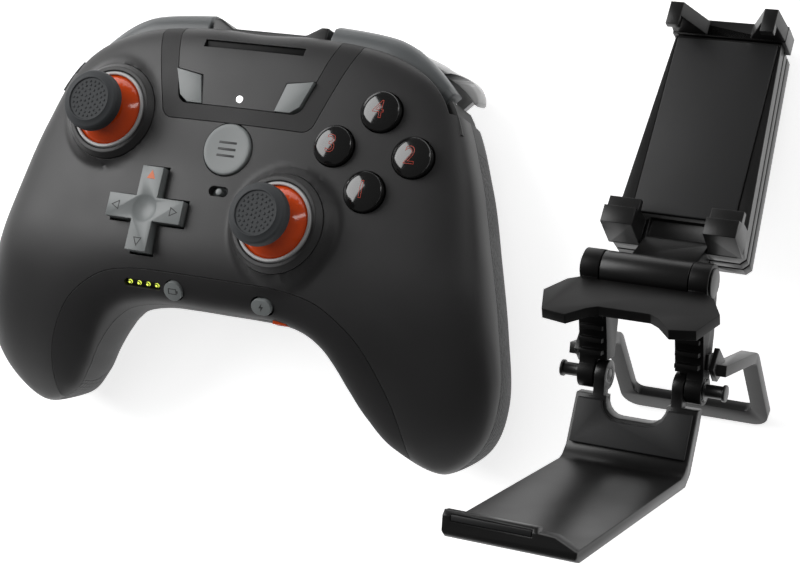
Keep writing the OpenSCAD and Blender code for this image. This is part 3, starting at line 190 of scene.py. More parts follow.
def arc(centre, radius, start, end, steps):
    turns = [math.radians(start + (end - start) * k / steps) for k in range(steps + 1)]
    return [(centre[0] + radius * math.cos(a), centre[1] + radius * math.sin(a)) for a in turns]


def finished(piece, name, body, finish, place=None, stands=(), sharper=35):
    if place is not None:
        piece.data.transform(place)
    pick(piece)
    bpy.ops.object.shade_smooth_by_angle(angle=math.radians(sharper))
    piece.name = name
    piece.data.name = name
    piece.data.materials.clear()
    piece.data.materials.append(finish["material"])
    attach(piece, body)
    if stands:
        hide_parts(*stands)
    return piece


# Finishes: each is a shader with its own grain, sheen and soft edges, in object coordinates
def newShader(name):
    material = bpy.data.materials.new(name)
    material.use_nodes = True
    tree = material.node_tree
    shader = tree.nodes["Principled BSDF"]
    place = tree.nodes.new("ShaderNodeTexCoord")
    return material, tree, shader, place.outputs["Object"]


def setInputs(node, values):
    for name, value in values.items():
        node.inputs[name].default_value = value


def noise(tree, place, scale, detail=3, roughness=0.55):
    node = tree.nodes.new("ShaderNodeTexNoise")
    setInputs(node, {"Scale": scale, "Detail": detail, "Roughness": roughness})
    tree.links.new(place, node.inputs["Vector"])
    return node.outputs["Fac"]


def spread(tree, value, low, high):
    node = tree.nodes.new("ShaderNodeMapRange")
    setInputs(node, {"From Min": 0.25, "From Max": 0.75, "To Min": low, "To Max": high})
    tree.links.new(value, node.inputs["Value"])
    return node.outputs["Result"]


def tinted(tree, value, colour, change):
    node = tree.nodes.new("ShaderNodeValToRGB")
    for stop, factor, place in ((node.color_ramp.elements[0], 1 - change, 0.3),
                                (node.color_ramp.elements[1], 1 + change, 0.7)):
        stop.position = place
        stop.color = [min(1, c * factor) for c in colour] + [1]
    tree.links.new(value, node.inputs["Fac"])
    return node.outputs["Color"]


def painted(tree, shader, value, colour, change, low, high):
    tree.links.new(tinted(tree, value, colour, change), shader.inputs["Base Color"])
    tree.links.new(spread(tree, value, low, high), shader.inputs["Roughness"])


def bumped(tree, shader, height, strength, distance, edge):
    soft = tree.nodes.new("ShaderNodeBevel")  # the small radius of a moulded edge
    soft.samples = 4
    setInputs(soft, {"Radius": edge})
    node = tree.nodes.new("ShaderNodeBump")
    setInputs(node, {"Strength": strength, "Distance": distance})
    tree.links.new(height, node.inputs["Height"])
    tree.links.new(soft.outputs["Normal"], node.inputs["Normal"])
    tree.links.new(node.outputs["Normal"], shader.inputs["Normal"])


def moulded(name, slot, colour, rough, grain=5200, grainStrength=0.25, edge=0.0002, sheen=0.0, coat=0.0,
            gloss=0.5):
    material, tree, shader, place = newShader(name)
    fine = noise(tree, place, grain)
    cloud = noise(tree, place, scale=55, detail=4)
    painted(tree, shader, cloud, colour, change=0.06, low=rough - 0.04, high=rough + 0.05)
    setInputs(shader, {"Specular IOR Level": gloss, "Sheen Weight": sheen, "Sheen Roughness": 0.45,
                       "Coat Weight": coat, "Coat Roughness": 0.06})
    bumped(tree, shader, fine, grainStrength, distance=0.00006, edge=edge)
    return {"material": material, "slot": slot}


def dotted(name, slot, colour, rough, scale, depth):
    material, tree, shader, place = newShader(name)
    cells = tree.nodes.new("ShaderNodeTexVoronoi")
    setInputs(cells, {"Scale": scale, "Randomness": 0.35})
    tree.links.new(place, cells.inputs["Vector"])
    cloud = noise(tree, place, scale=70, detail=4)
    painted(tree, shader, cloud, colour, change=0.08, low=rough - 0.05, high=rough + 0.05)
    dots = spread(tree, cells.outputs["Distance"], low=1, high=0)
    bumped(tree, shader, dots, strength=0.8, distance=depth, edge=0.0002)
    return {"material": material, "slot": slot}


def brushed(name, slot, colour, rough):
    material, tree, shader, place = newShader(name)
    turn = tree.nodes.new("ShaderNodeMapping")
    setInputs(turn, {"Scale": (1, 14, 14)})
    tree.links.new(place, turn.inputs["Vector"])
    streaks = noise(tree, turn.outputs["Vector"], scale=700, detail=2)
    painted(tree, shader, streaks, colour, change=0.1, low=rough - 0.06, high=rough + 0.08)
    setInputs(shader, {"Metallic": 1})
    bumped(tree, shader, streaks, strength=0.15, distance=0.00004, edge=0.0001)
    return {"material": material, "slot": slot}


def glowing(name, slot, colour, strength):
    material, tree, shader, place = newShader(name)
    cloud = noise(tree, place, scale=900, detail=2)
    painted(tree, shader, cloud, colour, change=0.1, low=0.15, high=0.25)
    setInputs(shader, {"Emission Color": (*colour, 1), "Emission Strength": strength})
    bumped(tree, shader, cloud, strength=0.1, distance=0.00005, edge=0.0001)
    return {"material": material, "slot": slot}


shellGrey = moulded("shellGrey", "shell", (0.021, 0.0205, 0.021), 0.46, sheen=0.05)
bandBlack = moulded("bandBlack", "dark_band", (0.011, 0.0105, 0.011), 0.6, grain=3600, grainStrength=0.35)
backBlack = moulded("backBlack", "dark_band", (0.012, 0.012, 0.0125), 0.55, grain=3000, grainStrength=0.4)
gripRubber = dotted("gripRubber", "grip", (0.03, 0.03, 0.031), 0.62, 900, 0.00022)
bridgeBlack = moulded("bridgeBlack", "gloss_black", (0.008, 0.008, 0.008), 0.38, grain=1200,
                      grainStrength=0.1)
# A darker, duller copy of the bridge finish in the same slot: painted shade for the bar sunk inside the
# panel's slot
slotShadeBlack = moulded("slotShadeBlack", "gloss_black", (0.004, 0.004, 0.004), 0.5, grain=1200,
                    grainStrength=0.1, gloss=0.15)
lampBar = moulded("lampBar", "lights", (0.006, 0.006, 0.006), 0.3, grain=900, grainStrength=0.05)
innerBlack = moulded("innerBlack", "inner_black", (0.012, 0.012, 0.012), 0.6)
glossBlack = moulded("glossBlack", "gloss_black", (0.006, 0.006, 0.006), 0.12, grain=350,
                     grainStrength=0.03, coat=0.6)
satinKey = moulded("satinKey", "satin_key", (0.2, 0.214, 0.214), 0.36, grain=4200, grainStrength=0.14)
satinBumper = moulded("satinBumper", "satin_key", (0.11, 0.117, 0.12), 0.36, grain=4200, grainStrength=0.12)
pearlTrigger = moulded("pearlTrigger", "trigger", (0.42, 0.42, 0.42), 0.16, grain=300,
                       grainStrength=0.03, coat=0.5)
domeOrange = moulded("domeOrange", "dome", (0.68, 0.066, 0.004), 0.12, grain=300,
                     grainStrength=0.03, coat=0.3)
linerGrey = moulded("linerGrey", "liner", (0.42, 0.42, 0.42), 0.3, grain=2500, grainStrength=0.08)
capRubber = moulded("capRubber", "cap", (0.034, 0.037, 0.04), 0.66, grain=2600, grainStrength=0.5)
clipBlack = moulded("clipBlack", "clip", (0.0062, 0.006, 0.006), 0.34, grain=2600, grainStrength=0.14,
                    edge=0.0003)
# A darker, duller copy of the clip finish: painted shade that keeps the jaw plate's upward face dark
jawShadeBlack = moulded("jawShadeBlack", "clip", (0.0045, 0.0043, 0.0043), 0.42, grain=2600, grainStrength=0.14,
                   edge=0.0003, gloss=0.2)
clipPad = moulded("clipPad", "clip_pad", (0.012, 0.012, 0.0125), 0.6, grain=2200, grainStrength=0.3)
steel = brushed("steel", "steel", (0.55, 0.55, 0.56), 0.32)
boardGreen = moulded("boardGreen", "board", (0.012, 0.08, 0.035), 0.4, grain=900, grainStrength=0.2)
cellFoil = brushed("cellFoil", "cell", (0.5, 0.51, 0.53), 0.4)
membraneGrey = moulded("membraneGrey", "membrane", (0.45, 0.45, 0.43), 0.6)
lampGreen = glowing("lampGreen", "lights", (0.72, 0.85, 0.1), 1.2)
lampWhite = glowing("lampWhite", "status", (0.95, 0.95, 0.95), 1.6)
markRed = moulded("markRed", "gloss_black", (0.5, 0.05, 0.025), 0.3, grain=900, grainStrength=0.05)
markOrange = moulded("markOrange", "dome", (0.75, 0.16, 0.04), 0.4, grain=900, grainStrength=0.05)
markDark = moulded("markDark", "satin_key", (0.03, 0.031, 0.032), 0.5, grain=900, grainStrength=0.05)
print("finishes made")

# Housing skin: sections between an outer and an inner outline, lofted from one handle tip to the other
housing = {
    "halfWidth": 75.5, "faceTop": 42.5, "faceBottom": 29.5, "handleReach": 58, "crown": 294,
    "wall": 2.2, "seamDepth": 13, "bodyDepth": 33, "handleDepth": 48.9, "seam": 0.15,
    "dropStart": 12, "dropRate": 0.0125, "rows": 170, "across": 80, "acrossInside": 16,
    "lip": -7, "pocket": 5.5, "pocketDeep": -60, "shoulderSpan": 0.345, "nudge": 0.004,
    "gather": 1.35, "leastInside": 0.1, "topPower": (5, 2.8), "underPower": (3.2, 2.2),
    "topBend": (0.35, 0.4), "underBend": (0.3, 0.4), "tipClose": (0.8, 0.2),  # start and length
    "faceEnd": 0.95, "halvings": 24,
}
halfWidth, faceTop = housing["halfWidth"], housing["faceTop"]
faceBottom, handleReach = housing["faceBottom"], housing["handleReach"]
seamGap = housing["seam"]
tipX = halfWidth - 15
outerLine = [
    (0, faceTop), (17, faceTop + 0.5), (halfWidth - 37.5, faceTop - 2),
    (halfWidth - 21.5, faceTop - 10.5), (halfWidth - 13, faceTop - 27.5), (halfWidth - 7.5, -2),
    (halfWidth - 2.5, -20), (halfWidth, -37), (halfWidth - 4, 8 - handleReach), (tipX, -handleReach),
]
innerLine = [
    (0, -faceBottom), (9, -faceBottom), (18, -faceBottom - 0.3), (26, -faceBottom - 2),
    (31, -faceBottom - 4.8), (34.5, -faceBottom - 8.5), (38, 15 - handleReach), (42, 9.5 - handleReach),
    (48.5, 3.5 - handleReach), (tipX, -handleReach),
]
tipDepth = -housing["seamDepth"] - 23.5
seamLine = [(-housing["seamDepth"] - d,) for d in (0, 0, 0.5, 1.5, 3.5, 5, 7.5, 12, 18)] + [(tipDepth,)]
middleDepth, handleDepth = housing["bodyDepth"], housing["handleDepth"]
underLine = [(-middleDepth,), (-middleDepth,), (-middleDepth - 0.3,), (-middleDepth - 1.2,)]
underLine += [(rise - handleDepth,) for rise in (11, 6.5, 2.5, 0, 1.5)] + [(tipDepth,)]


def mix(a, b, t):
    return a + (b - a) * t


def ease(t):
    t = min(1, max(0, t))
    return t * t * (3 - 2 * t)


def flipped(points):
    return [(-x, y) for x, y in points]


def alongLine(line, s, before, after):
    last = len(line) - 1
    k = min(int(s * last), last - 1)
    u = s * last - k
    a = before if k == 0 else line[k - 1]
    b, c = line[k], line[k + 1]
    d = after if k + 2 > last else line[k + 2]
    return tuple(q + 0.5 * u * ((r - p) + u * ((2 * p - 5 * q + 4 * r - t) + u * (3 * (q - r) + t - p)))
                 for p, q, r, t in zip(a, b, c, d))


def outerAt(s):
    return Vector(alongLine(outerLine, s, flipped(outerLine[1:2])[0], innerLine[-2]))


def innerAt(s):
    return Vector(alongLine(innerLine, s, flipped(innerLine[1:2])[0], outerLine[-2]))


def seamAt(s):
    return alongLine(seamLine, s, seamLine[1], seamLine[-1])[0]


def underAt(s):
    return alongLine(underLine, s, underLine[1], underLine[-1])[0]


def partOf(t, window):
    start, length = window
    return (t - start) / length


def topPower(s):
    return mix(*housing["topPower"], ease(partOf(s, housing["topBend"])))


def underPower(s):
    return mix(*housing["underPower"], ease(partOf(s, housing["underBend"])))


def closing(s):
    return math.sqrt(max(0, 1 - min(1, max(0, partOf(s, housing["tipClose"]))) ** 3))


def faceField(x, y):
    return -x * x / (2 * housing["crown"]) - housing["dropRate"] * max(0, -housing["dropStart"] - y) ** 2


sticks = {
    "left": {"at": (-37, 16.7), "ring": 1},
    "right": {"at": (19, -7), "ring": 3},
    "skirtRadius": 13, "skirtSlope": 0.75, "skirtDrop": 1.7, "skirtBlend": 0.9,
    "opening": 9.3, "collar": 12.7, "pivotDrop": 7, "capRadius": 7.8, "capRise": 10, "stem": 2.6,
}


def swollen(point):
    # the face rises in a cone towards each stick's collar, with a soft foot
    x, y, z = point
    blend = sticks["skirtBlend"]
    for side in ("left", "right"):
        stick = sticks[side]
        reach = max(sticks["skirtRadius"], math.dist((x, y), stick["at"]))
        cone = stick["ring"] - sticks["skirtDrop"] - (reach - sticks["skirtRadius"]) / sticks["skirtSlope"]
        soft = max(0, blend - abs(cone - z)) / blend
        z = max(z, cone) + soft * soft * blend / 4
    return (x, y, z)


def skinPoint(side, s, turn, within, front):
    least = housing["leastInside"]
    power = topPower(s) if front else underPower(s)
    cosine, sine = math.cos(turn), math.sin(turn)
    reach = (abs(cosine) ** power + abs(sine) ** power) ** (-1 / power)
    o, i = outerAt(s), innerAt(s)
    half = (o - i) / 2
    span = half.length
    narrow = min(within, (1 - least) * span) / span if span > 1e-6 else 0
    p = (o + i) / 2 + half * (cosine * reach) * (1 - narrow)
    rim = seamAt(s) - (0 if front else seamGap)
    tall = (faceField(p.x, p.y) - rim if front else rim - underAt(s)) * closing(s)
    rise = max(tall * least, tall - within) * sine * reach
    return (side * p.x, p.y, rim + rise if front else rim - rise)


def halfBody(front):
    rows = []
    total, across, inside = housing["rows"], housing["across"], housing["acrossInside"]
    for k in range(-total, total + 1):
        s = 1 - (1 - abs(k) / total) ** housing["gather"]
        side = 1 if k >= 0 else -1
        outside = [skinPoint(side, s, math.pi * j / across, 0, front) for j in range(across + 1)]
        lining = [skinPoint(side, s, math.pi * j / inside, housing["wall"], front) for j in range(inside + 1)]
        rows.append([swollen(p) if front else p for p in outside] + lining[::-1])
    return loft(rows)


def shoulderAt(s, out):
    nudge = housing["nudge"]
    step = outerAt(s + nudge) - outerAt(max(0, s - nudge))
    normal = Vector((0, 1)) if s < nudge else Vector((-step.y, step.x)).normalized()
    return outerAt(s) + normal * out


def bothSides(points):
    return flipped(points[:0:-1]) + list(points)


def otherSide(points):
    return flipped(points[::-1])


def inset(outline, gap):
    area = sum(a[0] * b[1] - b[0] * a[1] for a, b in zip(outline, outline[1:] + outline[:1]))
    turn = 1 if area > 0 else -1
    corners = []
    for a, b, c in zip(outline[-1:] + outline[:-1], outline, outline[1:] + outline[:1]):
        into, away = (Vector(b) - Vector(a)).normalized(), (Vector(c) - Vector(b)).normalized()
        left = turn * (Vector((-into.y, into.x)) + Vector((-away.y, away.x)))
        corners.append(tuple(Vector(b) + left * gap / (1 + into.dot(away))))
    return corners


def shoulderPocket(steps=24):
    span = housing["shoulderSpan"]
    edge = [tuple(shoulderAt(mix(0, span, k / steps), -housing["pocket"])) for k in range(steps + 1)]
    inner = bothSides(edge)
    farX, farY, endY = halfWidth + 10, faceTop + 20, inner[-1][1]
    outside = [(farX, endY), (farX, farY), (-farX, farY), (-farX, endY)]
    return prism(inner + outside, housing["pocketDeep"], housing["lip"])


def faceHeight(x, y):
    low, high = 0.0, housing["faceEnd"]
    p = Vector((abs(x), y))
    for _ in range(housing["halvings"]):
        s = (low + high) / 2
        a, b = outerAt(s) - innerAt(s), p - innerAt(s)
        if a.y * b.x - a.x * b.y > 0:
            low = s
        else:
            high = s
    o, i = outerAt(s), innerAt(s)
    u = abs((p - (o + i) / 2).dot(o - i)) / ((o - i).length_squared / 2)
    lift = max(0, 1 - u ** topPower(s)) ** (1 / topPower(s))
    return seamAt(s) + (faceField(x, y) - seamAt(s)) * lift


# Outlines of the panel, its dark band, the lower band and the back grips
panel = {"foot": 16.8, "width": 4.2, "corner": 3.5,
         "slotHalf": 14.6, "slotY": faceTop - 4.9, "slotWidth": 2.1}


def funnel(half, drop, footHalf, foot, lean):
    corner = panel["corner"]
    bend = arc((footHalf - corner, foot + corner), corner, -lean, -90, 10)
    right = [(half, faceTop + 8), (half, faceTop - drop)] + bend
    return right + otherSide(right)


panelOutline = funnel(half=23, drop=2.7, footHalf=18.6, foot=panel["foot"] + panel["width"], lean=10)
bandOutline = funnel(half=29, drop=3, footHalf=22.4, foot=panel["foot"], lean=15)
lowerEdge = [(0, -22.5), (10, -22.5), (20, -22.7), (29.5, -24.1), (36.5, -27.4), (42.8, -32.4),
             (47.8, -39.4), (51.3, -47), (53, -56)]
lowerHalf = [alongLine(lowerEdge, k / 40, (-10, -22.5), (53.5, -66)) for k in range(41)]
lowerOutline = bothSides(lowerHalf) + [(53, -handleReach - 20), (-53, -handleReach - 20)]
gripEdge = [(halfWidth - 18, 44), (halfWidth - 15, 22), (halfWidth - 18, 2), (halfWidth - 25, -18),
            (halfWidth - 32, -34), (halfWidth - 33, -44), (halfWidth - 28, -60)]
gripOutline = [alongLine(gripEdge, k / 30, gripEdge[0], gripEdge[-1]) for k in range(31)]
gripOutline += [(tipX, -handleReach - 15), (halfWidth + 15, -handleReach - 15), (halfWidth + 15, 44)]
keyNotch = [(26, 31.1), (12.2, 28.9), (9.9, 18), (26, 18)]
cutting = {"whole": (-70, 14), "face": (-12, 14), "lowBand": (-6, 8)}  # foot and top of the cutters


def through(outline):
    return prism(outline, *cutting["whole"])


def keptInside(body, outline):
    return cut(copied(body), through(inset(outline, seamGap)), operation="INTERSECT")


def hole(x, y, radius):
    return rod(x, y, radius, *cutting["face"], 96)


def roundedSlot(half, radius, low, top):
    return prism(arc((half, 0), radius, -90, 90, 12) + arc((-half, 0), radius, 90, 270, 12), low, top)


lowBand = {
    "tilt": 35, "lights": (-18.8, 3.1 - faceBottom), "lightsHalf": 4.4, "lightsRadius": 1.1, "lightStep": 2.7,
    "battery": (-9.2, 2.8 - faceBottom), "batteryRadius": 2.6, "batteryTop": 0.7,
    "assist": (16.4, 2.4 - faceBottom), "assistHalf": 0.7, "assistRadius": 2.1, "assistGap": 0.5,
    "assistTop": 0.8,
}


def onLowBand(name):
    x, y = lowBand[name]
    return shifted(x, y, faceHeight(x, y)) @ turned(lowBand["tilt"], "X")


def moved(piece, place):
    piece.data.transform(place)
    return piece


group = {"x": 38.9, "y": 14.5, "radius": 10.2, "button": 5.1, "gap": 0.3,
         "flange": 3.9, "rise": 2.4, "sag": 1, "stem": 3, "stemEnd": -10.6, "rim": 0.8, "edge": 0.55}
groupPlaces = {"north": (0, 1), "east": (1, 0), "south": (0, -1), "west": (-1, 0)}
crossPad = {"at": (-19.1, -7.9), "reach": 11, "arm": 3.05, "gap": 0.6, "rise": 2.5}
menuKey = {"y": 10.1, "radius": 6.7, "bars": (-1.7, 0, 1.7), "barHalf": 2.6, "barThick": 0.32,
           "barLow": 0.4, "barTop": 0.62, "barEdge": 0.1}
modeSlot = {"y": -0.8, "half": 1.5, "radius": 1.3}
statusLamp = {"y": 23.4, "radius": 0.9}
port = {"x": 20, "width": 4, "height": 2.4, "z": -10.5, "ends": (-8, 4)}


def buttonPlace(name):
    dx, dy = groupPlaces[name]
    return group["x"] + group["radius"] * dx, group["y"] + group["radius"] * dy


def crossOutline(reach, arm):
    corners = [(arm, arm), (arm, reach), (-arm, reach), (-arm, arm), (-reach, arm), (-reach, -arm),
               (-arm, -arm), (-arm, -reach), (arm, -reach), (arm, -arm), (reach, -arm), (reach, arm)]
    padX, padY = crossPad["at"]
    return [(padX + x, padY + y) for x, y in corners]


frontBody = cut(halfBody(True), shoulderPocket())
print("front body lofted:", len(frontBody.data.polygons), "faces")

frontShell = copied(frontBody)
faceHoles = [hole(*sticks[side]["at"], sticks["collar"] + seamGap)
             for side in ("left", "right")]
faceHoles += [hole(*buttonPlace(name), group["button"] + group["gap"]) for name in groupPlaces]
faceHoles += [hole(0, menuKey["y"], menuKey["radius"] + group["gap"])]
modeOpening = roundedSlot(modeSlot["half"], modeSlot["radius"], *cutting["face"])
faceHoles += [moved(modeOpening, shifted(0, modeSlot["y"]))]
crossOpening = crossOutline(crossPad["reach"] + crossPad["gap"], crossPad["arm"] + crossPad["gap"])
faceHoles += [prism(crossOpening, *cutting["face"]), through(bandOutline), through(lowerOutline)]
cut(frontShell, *faceHoles)
finished(frontShell, "frontShell", "housing", shellGrey, padToTable, ["front_shell"])

centrePanel = keptInside(frontBody, panelOutline)
slotFoot, slotTop = cutting["face"]
panelHoles = [through(keyNotch), through(otherSide(keyNotch)),
              block((-panel["slotHalf"], panel["slotY"] - panel["slotWidth"] / 2, slotFoot),
                    (panel["slotHalf"], panel["slotY"] + panel["slotWidth"] / 2, slotTop)),
              hole(0, statusLamp["y"], statusLamp["radius"] + seamGap)]
cut(centrePanel, *panelHoles)
finished(centrePanel, "centrePanel", "housing", shellGrey, padToTable, ["centre_panel"])

panelBand = keptInside(frontBody, bandOutline)
cut(panelBand, through(panelOutline))
finished(panelBand, "panelBand", "housing", bandBlack, padToTable, ["panel_band"])

lowerBand = keptInside(frontBody, lowerOutline)
portX, portZ = port["width"] / 2 + seamGap, port["height"] / 2 + seamGap
lowHoles = [
    moved(roundedSlot(lowBand["lightsHalf"], lowBand["lightsRadius"], *cutting["lowBand"]),
          onLowBand("lights")),
    moved(rod(0, 0, lowBand["batteryRadius"] + group["gap"], *cutting["lowBand"]), onLowBand("battery")),
    moved(roundedSlot(lowBand["assistHalf"], lowBand["assistRadius"] + lowBand["assistGap"],
                      *cutting["lowBand"]), onLowBand("assist")),
    block((port["x"] - portX, port["ends"][0] - faceBottom, port["z"] - portZ),
          (port["x"] + portX, port["ends"][1] - faceBottom, port["z"] + portZ)),
]
cut(lowerBand, *lowHoles)
finished(lowerBand, "lowerBand", "housing", bandBlack, padToTable, ["lower_band"])
bpy.data.objects.remove(frontBody)
print("front pieces cut")

rearBody = cut(halfBody(False), shoulderPocket())
screws = {"places": [(29.3, faceTop - 11.5, 3.4 - middleDepth), (35, -14, -middleDepth - 0.1)],
          "head": 1.9, "headGap": 0.3, "shank": 1, "shankGap": 0.05, "post": 2.7, "seat": 3.2,
          "board": -15.6, "past": 8}
rearShell = copied(rearBody)
cut(rearShell, through(gripOutline), through(otherSide(gripOutline)))
for x, y, low in screws["places"]:
    for side in (-1, 1):
        cut(rearShell, rod(side * x, y, screws["post"], low, screws["board"], 48), operation="UNION")
        headFoot, headTop = low - screws["past"], low + screws["seat"]
        cut(rearShell, rod(side * x, y, screws["head"] + screws["headGap"], headFoot, headTop, 48))
        cut(rearShell, rod(side * x, y, screws["shank"] + screws["shankGap"], low, 0, 32))
finished(rearShell, "rearShell", "housing", backBlack, padToTable, ["rear_shell"])
hands = ((1, "right"), (-1, "left"))
for side, name in hands:
    outline = inset(gripOutline, seamGap)
    keep = through(outline if side > 0 else otherSide(outline))
    grip = cut(copied(rearBody), keep, operation="INTERSECT")
    finished(grip, name + "Grip", "housing", gripRubber, padToTable, [name + "_grip"])
bpy.data.objects.remove(rearBody)
print("back pieces cut")


# Shoulder pieces: sections swept along the shoulder line, with a rounded nose at the outer end
shoulder = {"bend": (0.4, 0.6), "shyEnd": (0.62, 0.28), "nose": (0.85, 0.15),  # start and length on the sweep
            "brow": 3}  # only what stands out further is shy
mirror = Matrix.Scale(-1, 4, (1, 0, 0))


def handed(piece, side):
    # pieces are modelled on the right, and the left one is turned over
    return piece if side > 0 else mended(moved(piece, mirror))


def sweep(section, run, count):
    low, top = min(p[1] for p in section), max(p[1] for p in section)
    near = min(p[0] for p in section)
    rows = []
    for k in range(count + 1):
        t = k / count
        e = ease(partOf(t, shoulder["bend"]))
        shy = run["shy"] * (1 - ease(partOf(t, shoulder["shyEnd"])))
        nose = math.sqrt(1 - run["nose"] * max(0, partOf(t, shoulder["nose"])) ** 2)
        row = []
        for out, z in section:
            held = out * mix(1, run["drawIn"], e) + run["flare"] * e if out > 0 else out
            held -= shy if out > shoulder["brow"] else 0
            q = shoulderAt(mix(run["start"], run["end"], t), mix(near, held, nose))
            share = (z - low) / (top - low)
            row.append((q.x, q.y, z - run["fall"] * e * share + run["lift"] * e * (1 - share)))
        rows.append(row)
    return loft(rows)


plainRun = {"drawIn": 1, "flare": 0, "fall": 0, "lift": 0, "shy": 0, "nose": 0}
bumper = {**plainRun, "out": 4.6, "in": 3.2, "top": -7.4, "low": -15.4, "start": 0.116, "end": 0.326,
          "drawIn": 0.2, "fall": 3.4, "edge": 0.35,
          "pinAt": (19.6, faceTop - 2.6), "pinRadius": 1.05, "pinPast": 5, "pinCover": 1.5}
trigger = {"low": -24, "top": -17, "start": 0.146, "end": 0.338, "drawIn": 0.88, "flare": 0.3,
           "fall": 1.2, "lift": 0.8, "shy": 1.4, "nose": 0.7, "pinY": faceTop - 3.5, "pinZ": -18.4,
           "hub": 2.6, "bore": 1.25, "boreReach": 60, "hubs": [(23.2, 28.6), (32.4, 38.2)],
           "armHalf": 1.2, "armReach": 6.4, "edge": 0.4}
triggerWeb = {**plainRun, "low": -22.8, "top": -21, "in": 1.8, "out": 3.6, "start": 0.255, "end": 0.324}
for side, name in hands:
    out, top, low = bumper["out"], bumper["top"], bumper["low"]
    strip = sweep([(-bumper["in"], top), (0.6, top), (out - 1.3, top - 1), (out - 0.2, top - 3),
                   (out, top - 5.4), (out - 0.5, low), (-bumper["in"], low)], bumper, 48)
    rounded(strip, bumper["edge"], segments=3, sharper=50)
    pinFoot, pinTop = low - bumper["pinPast"], top - bumper["pinCover"]
    handed(cut(strip, rod(*bumper["pinAt"], bumper["pinRadius"], pinFoot, pinTop, 32)), side)
    finished(strip, name + "Bumper", name + "_bumper", satinBumper, padToTable, [name + "_bumper"], 42)

    top, low = trigger["top"], trigger["low"]
    finger = sweep([(1.9, top), (out - 0.4, top), (out + 0.9, top - 2), (out + 1.4, low + 1.8),
                    (out + 0.2, low), (out - 1.4, low + 0.4), (1.9, low + 4)], trigger, 44)
    rounded(finger, trigger["edge"], segments=3, sharper=25)
    webIn, webOut, webLow, webTop = [triggerWeb[key] for key in ("in", "out", "low", "top")]
    web = sweep([(-webIn, webTop), (webOut, webTop), (webOut, webLow), (-webIn, webLow)], triggerWeb, 16)
    cut(finger, web, operation="UNION")
    pinY, pinZ = trigger["pinY"], trigger["pinZ"]
    armHalf, armReach = trigger["armHalf"], trigger["armReach"]
    alongPin = shifted(0, pinY, pinZ) @ turned(90, "Y")
    for a, b in trigger["hubs"]:
        barrel = moved(rod(0, 0, trigger["hub"], a, b), alongPin)
        arm = block((a, pinY, pinZ - armHalf), (b, pinY + armReach, pinZ + armHalf))
        cut(finger, barrel, arm, operation="UNION")
    handed(cut(finger, moved(rod(0, 0, trigger["bore"], 0, trigger["boreReach"]), alongPin)), side)
    finished(finger, name + "Trigger", name + "_trigger", pearlTrigger, padToTable, [name + "_trigger"], 50)
print("bumpers and triggers swept")


# Copies of the frame's solids with their sharp edges rounded
frameMesh = {"weld": 0.000002, "flat": 0.6}  # metres, and the turn in degrees that still counts as flat


def solidCopy(node, name):
    piece = bpy.data.objects.new(name, nodes[node].data.copy())
    bpy.context.collection.objects.link(piece)
    editAll(piece)
    bpy.ops.mesh.remove_doubles(threshold=frameMesh["weld"])
    bpy.ops.mesh.dissolve_limited(angle_limit=math.radians(frameMesh["flat"]))
    bpy.ops.object.mode_set(mode="OBJECT")
    return piece


softCopies = [  # node, name, body, finish, width and steps of the round
    ("shoulder_bridge", "shoulderBridge", "housing", bridgeBlack, 0.5, 3),
    ("slot_bar", "slotBar", "housing", slotShadeBlack, 0.2, 2),
    ("direction_pad", "directionPad", "direction", satinKey, 0.4, 3),
    ("select_button", "selectKey", "select", satinKey, 0.3, 3),
    ("start_button", "startKey", "start", satinKey, 0.3, 3),
    ("mode_switch", "modeSwitch", "mode", satinKey, 0.2, 2),
    ("battery_button", "batteryKey", "battery", satinKey, 0.3, 3),
    ("assist_button", "assistKey", "assist", satinKey, 0.3, 3),
    ("battery_lights", "batteryBar", "housing", lampBar, 0.1, 2),
    ("status_light", "statusLamp", "housing", lampWhite, 0.15, 2),
    ("port_insert", "portInsert", "housing", domeOrange, 0.15, 2),
    ("left_stick_dome", "leftDome", "left_stick", domeOrange, 0.15, 2),
    ("right_stick_dome", "rightDome", "right_stick", domeOrange, 0.15, 2),
    ("wall_pad", "wallPad", "tray", clipPad, 0.25, 2),
    ("lip_pad", "lipStrip", "tray", clipPad, 0.15, 2),
    ("clip_jaw", "clipJaw", "housing", jawShadeBlack, 0.3, 3),
    ("pivot_pins", "pivotPins", "housing", clipBlack, 0.25, 2),
    ("barrel_pin", "barrelPin", "housing", clipBlack, 0.2, 2),
    ("phone_pad", "phonePad", "cradle", clipPad, 0.3, 2),
    ("cradle_slider", "cradleSlider", "slider", clipBlack, 0.35, 3),
]
for node, name, body, finish, width, segments in softCopies:
    piece = rounded(solidCopy(node, name), width * mm, segments, sharper=30)
    finished(piece, name, body, finish, None, [node], sharper=38)
print("soft copies made")


# Clip pieces with more form: the tray's curved back, the cradle's grooves and the lever's round corners
def upright(outline, low, high):
    return moved(prism(outline, -high, -low), turned(90, "X"))


def softEdges(piece, place, spots, width, segments, near=0.05):
    # bevels only the edges that run across the clip at the given depth and height
    back = place.inverted()
    picked = piece.vertex_groups.new(name="picked")
    for vertex in piece.data.vertices:
        local = back @ vertex.co
        if any(math.hypot(local.y - y, local.z - z) < near for y, z in spots):
            picked.add([vertex.index], 1, "REPLACE")
    modify(piece, "BEVEL", width=width * mm, segments=segments, limit_method="VGROUP",
           vertex_group="picked", use_clamp_overlap=True)
    piece.vertex_groups.clear()
    return piece


tray = {"reach": 73.5, "drop": 18, "thick": 2.6}
trayLow = -tray["drop"] - tray["thick"]
trayPiece = solidCopy("clip_base", "clipTray")
softEdges(trayPiece, clipToTable, [(-1.4, -9), (-4.6, trayLow + 2.4), (-7.4, trayLow)], 1.7, 5)
softEdges(trayPiece, clipToTable, [(1.2 - tray["reach"], trayLow), (-tray["reach"], trayLow + 1)], 0.7, 4)
rounded(trayPiece, 0.3 * mm, 2, 30)
finished(trayPiece, "clipTray", "tray", clipBlack, None, ["clip_base"], sharper=38)

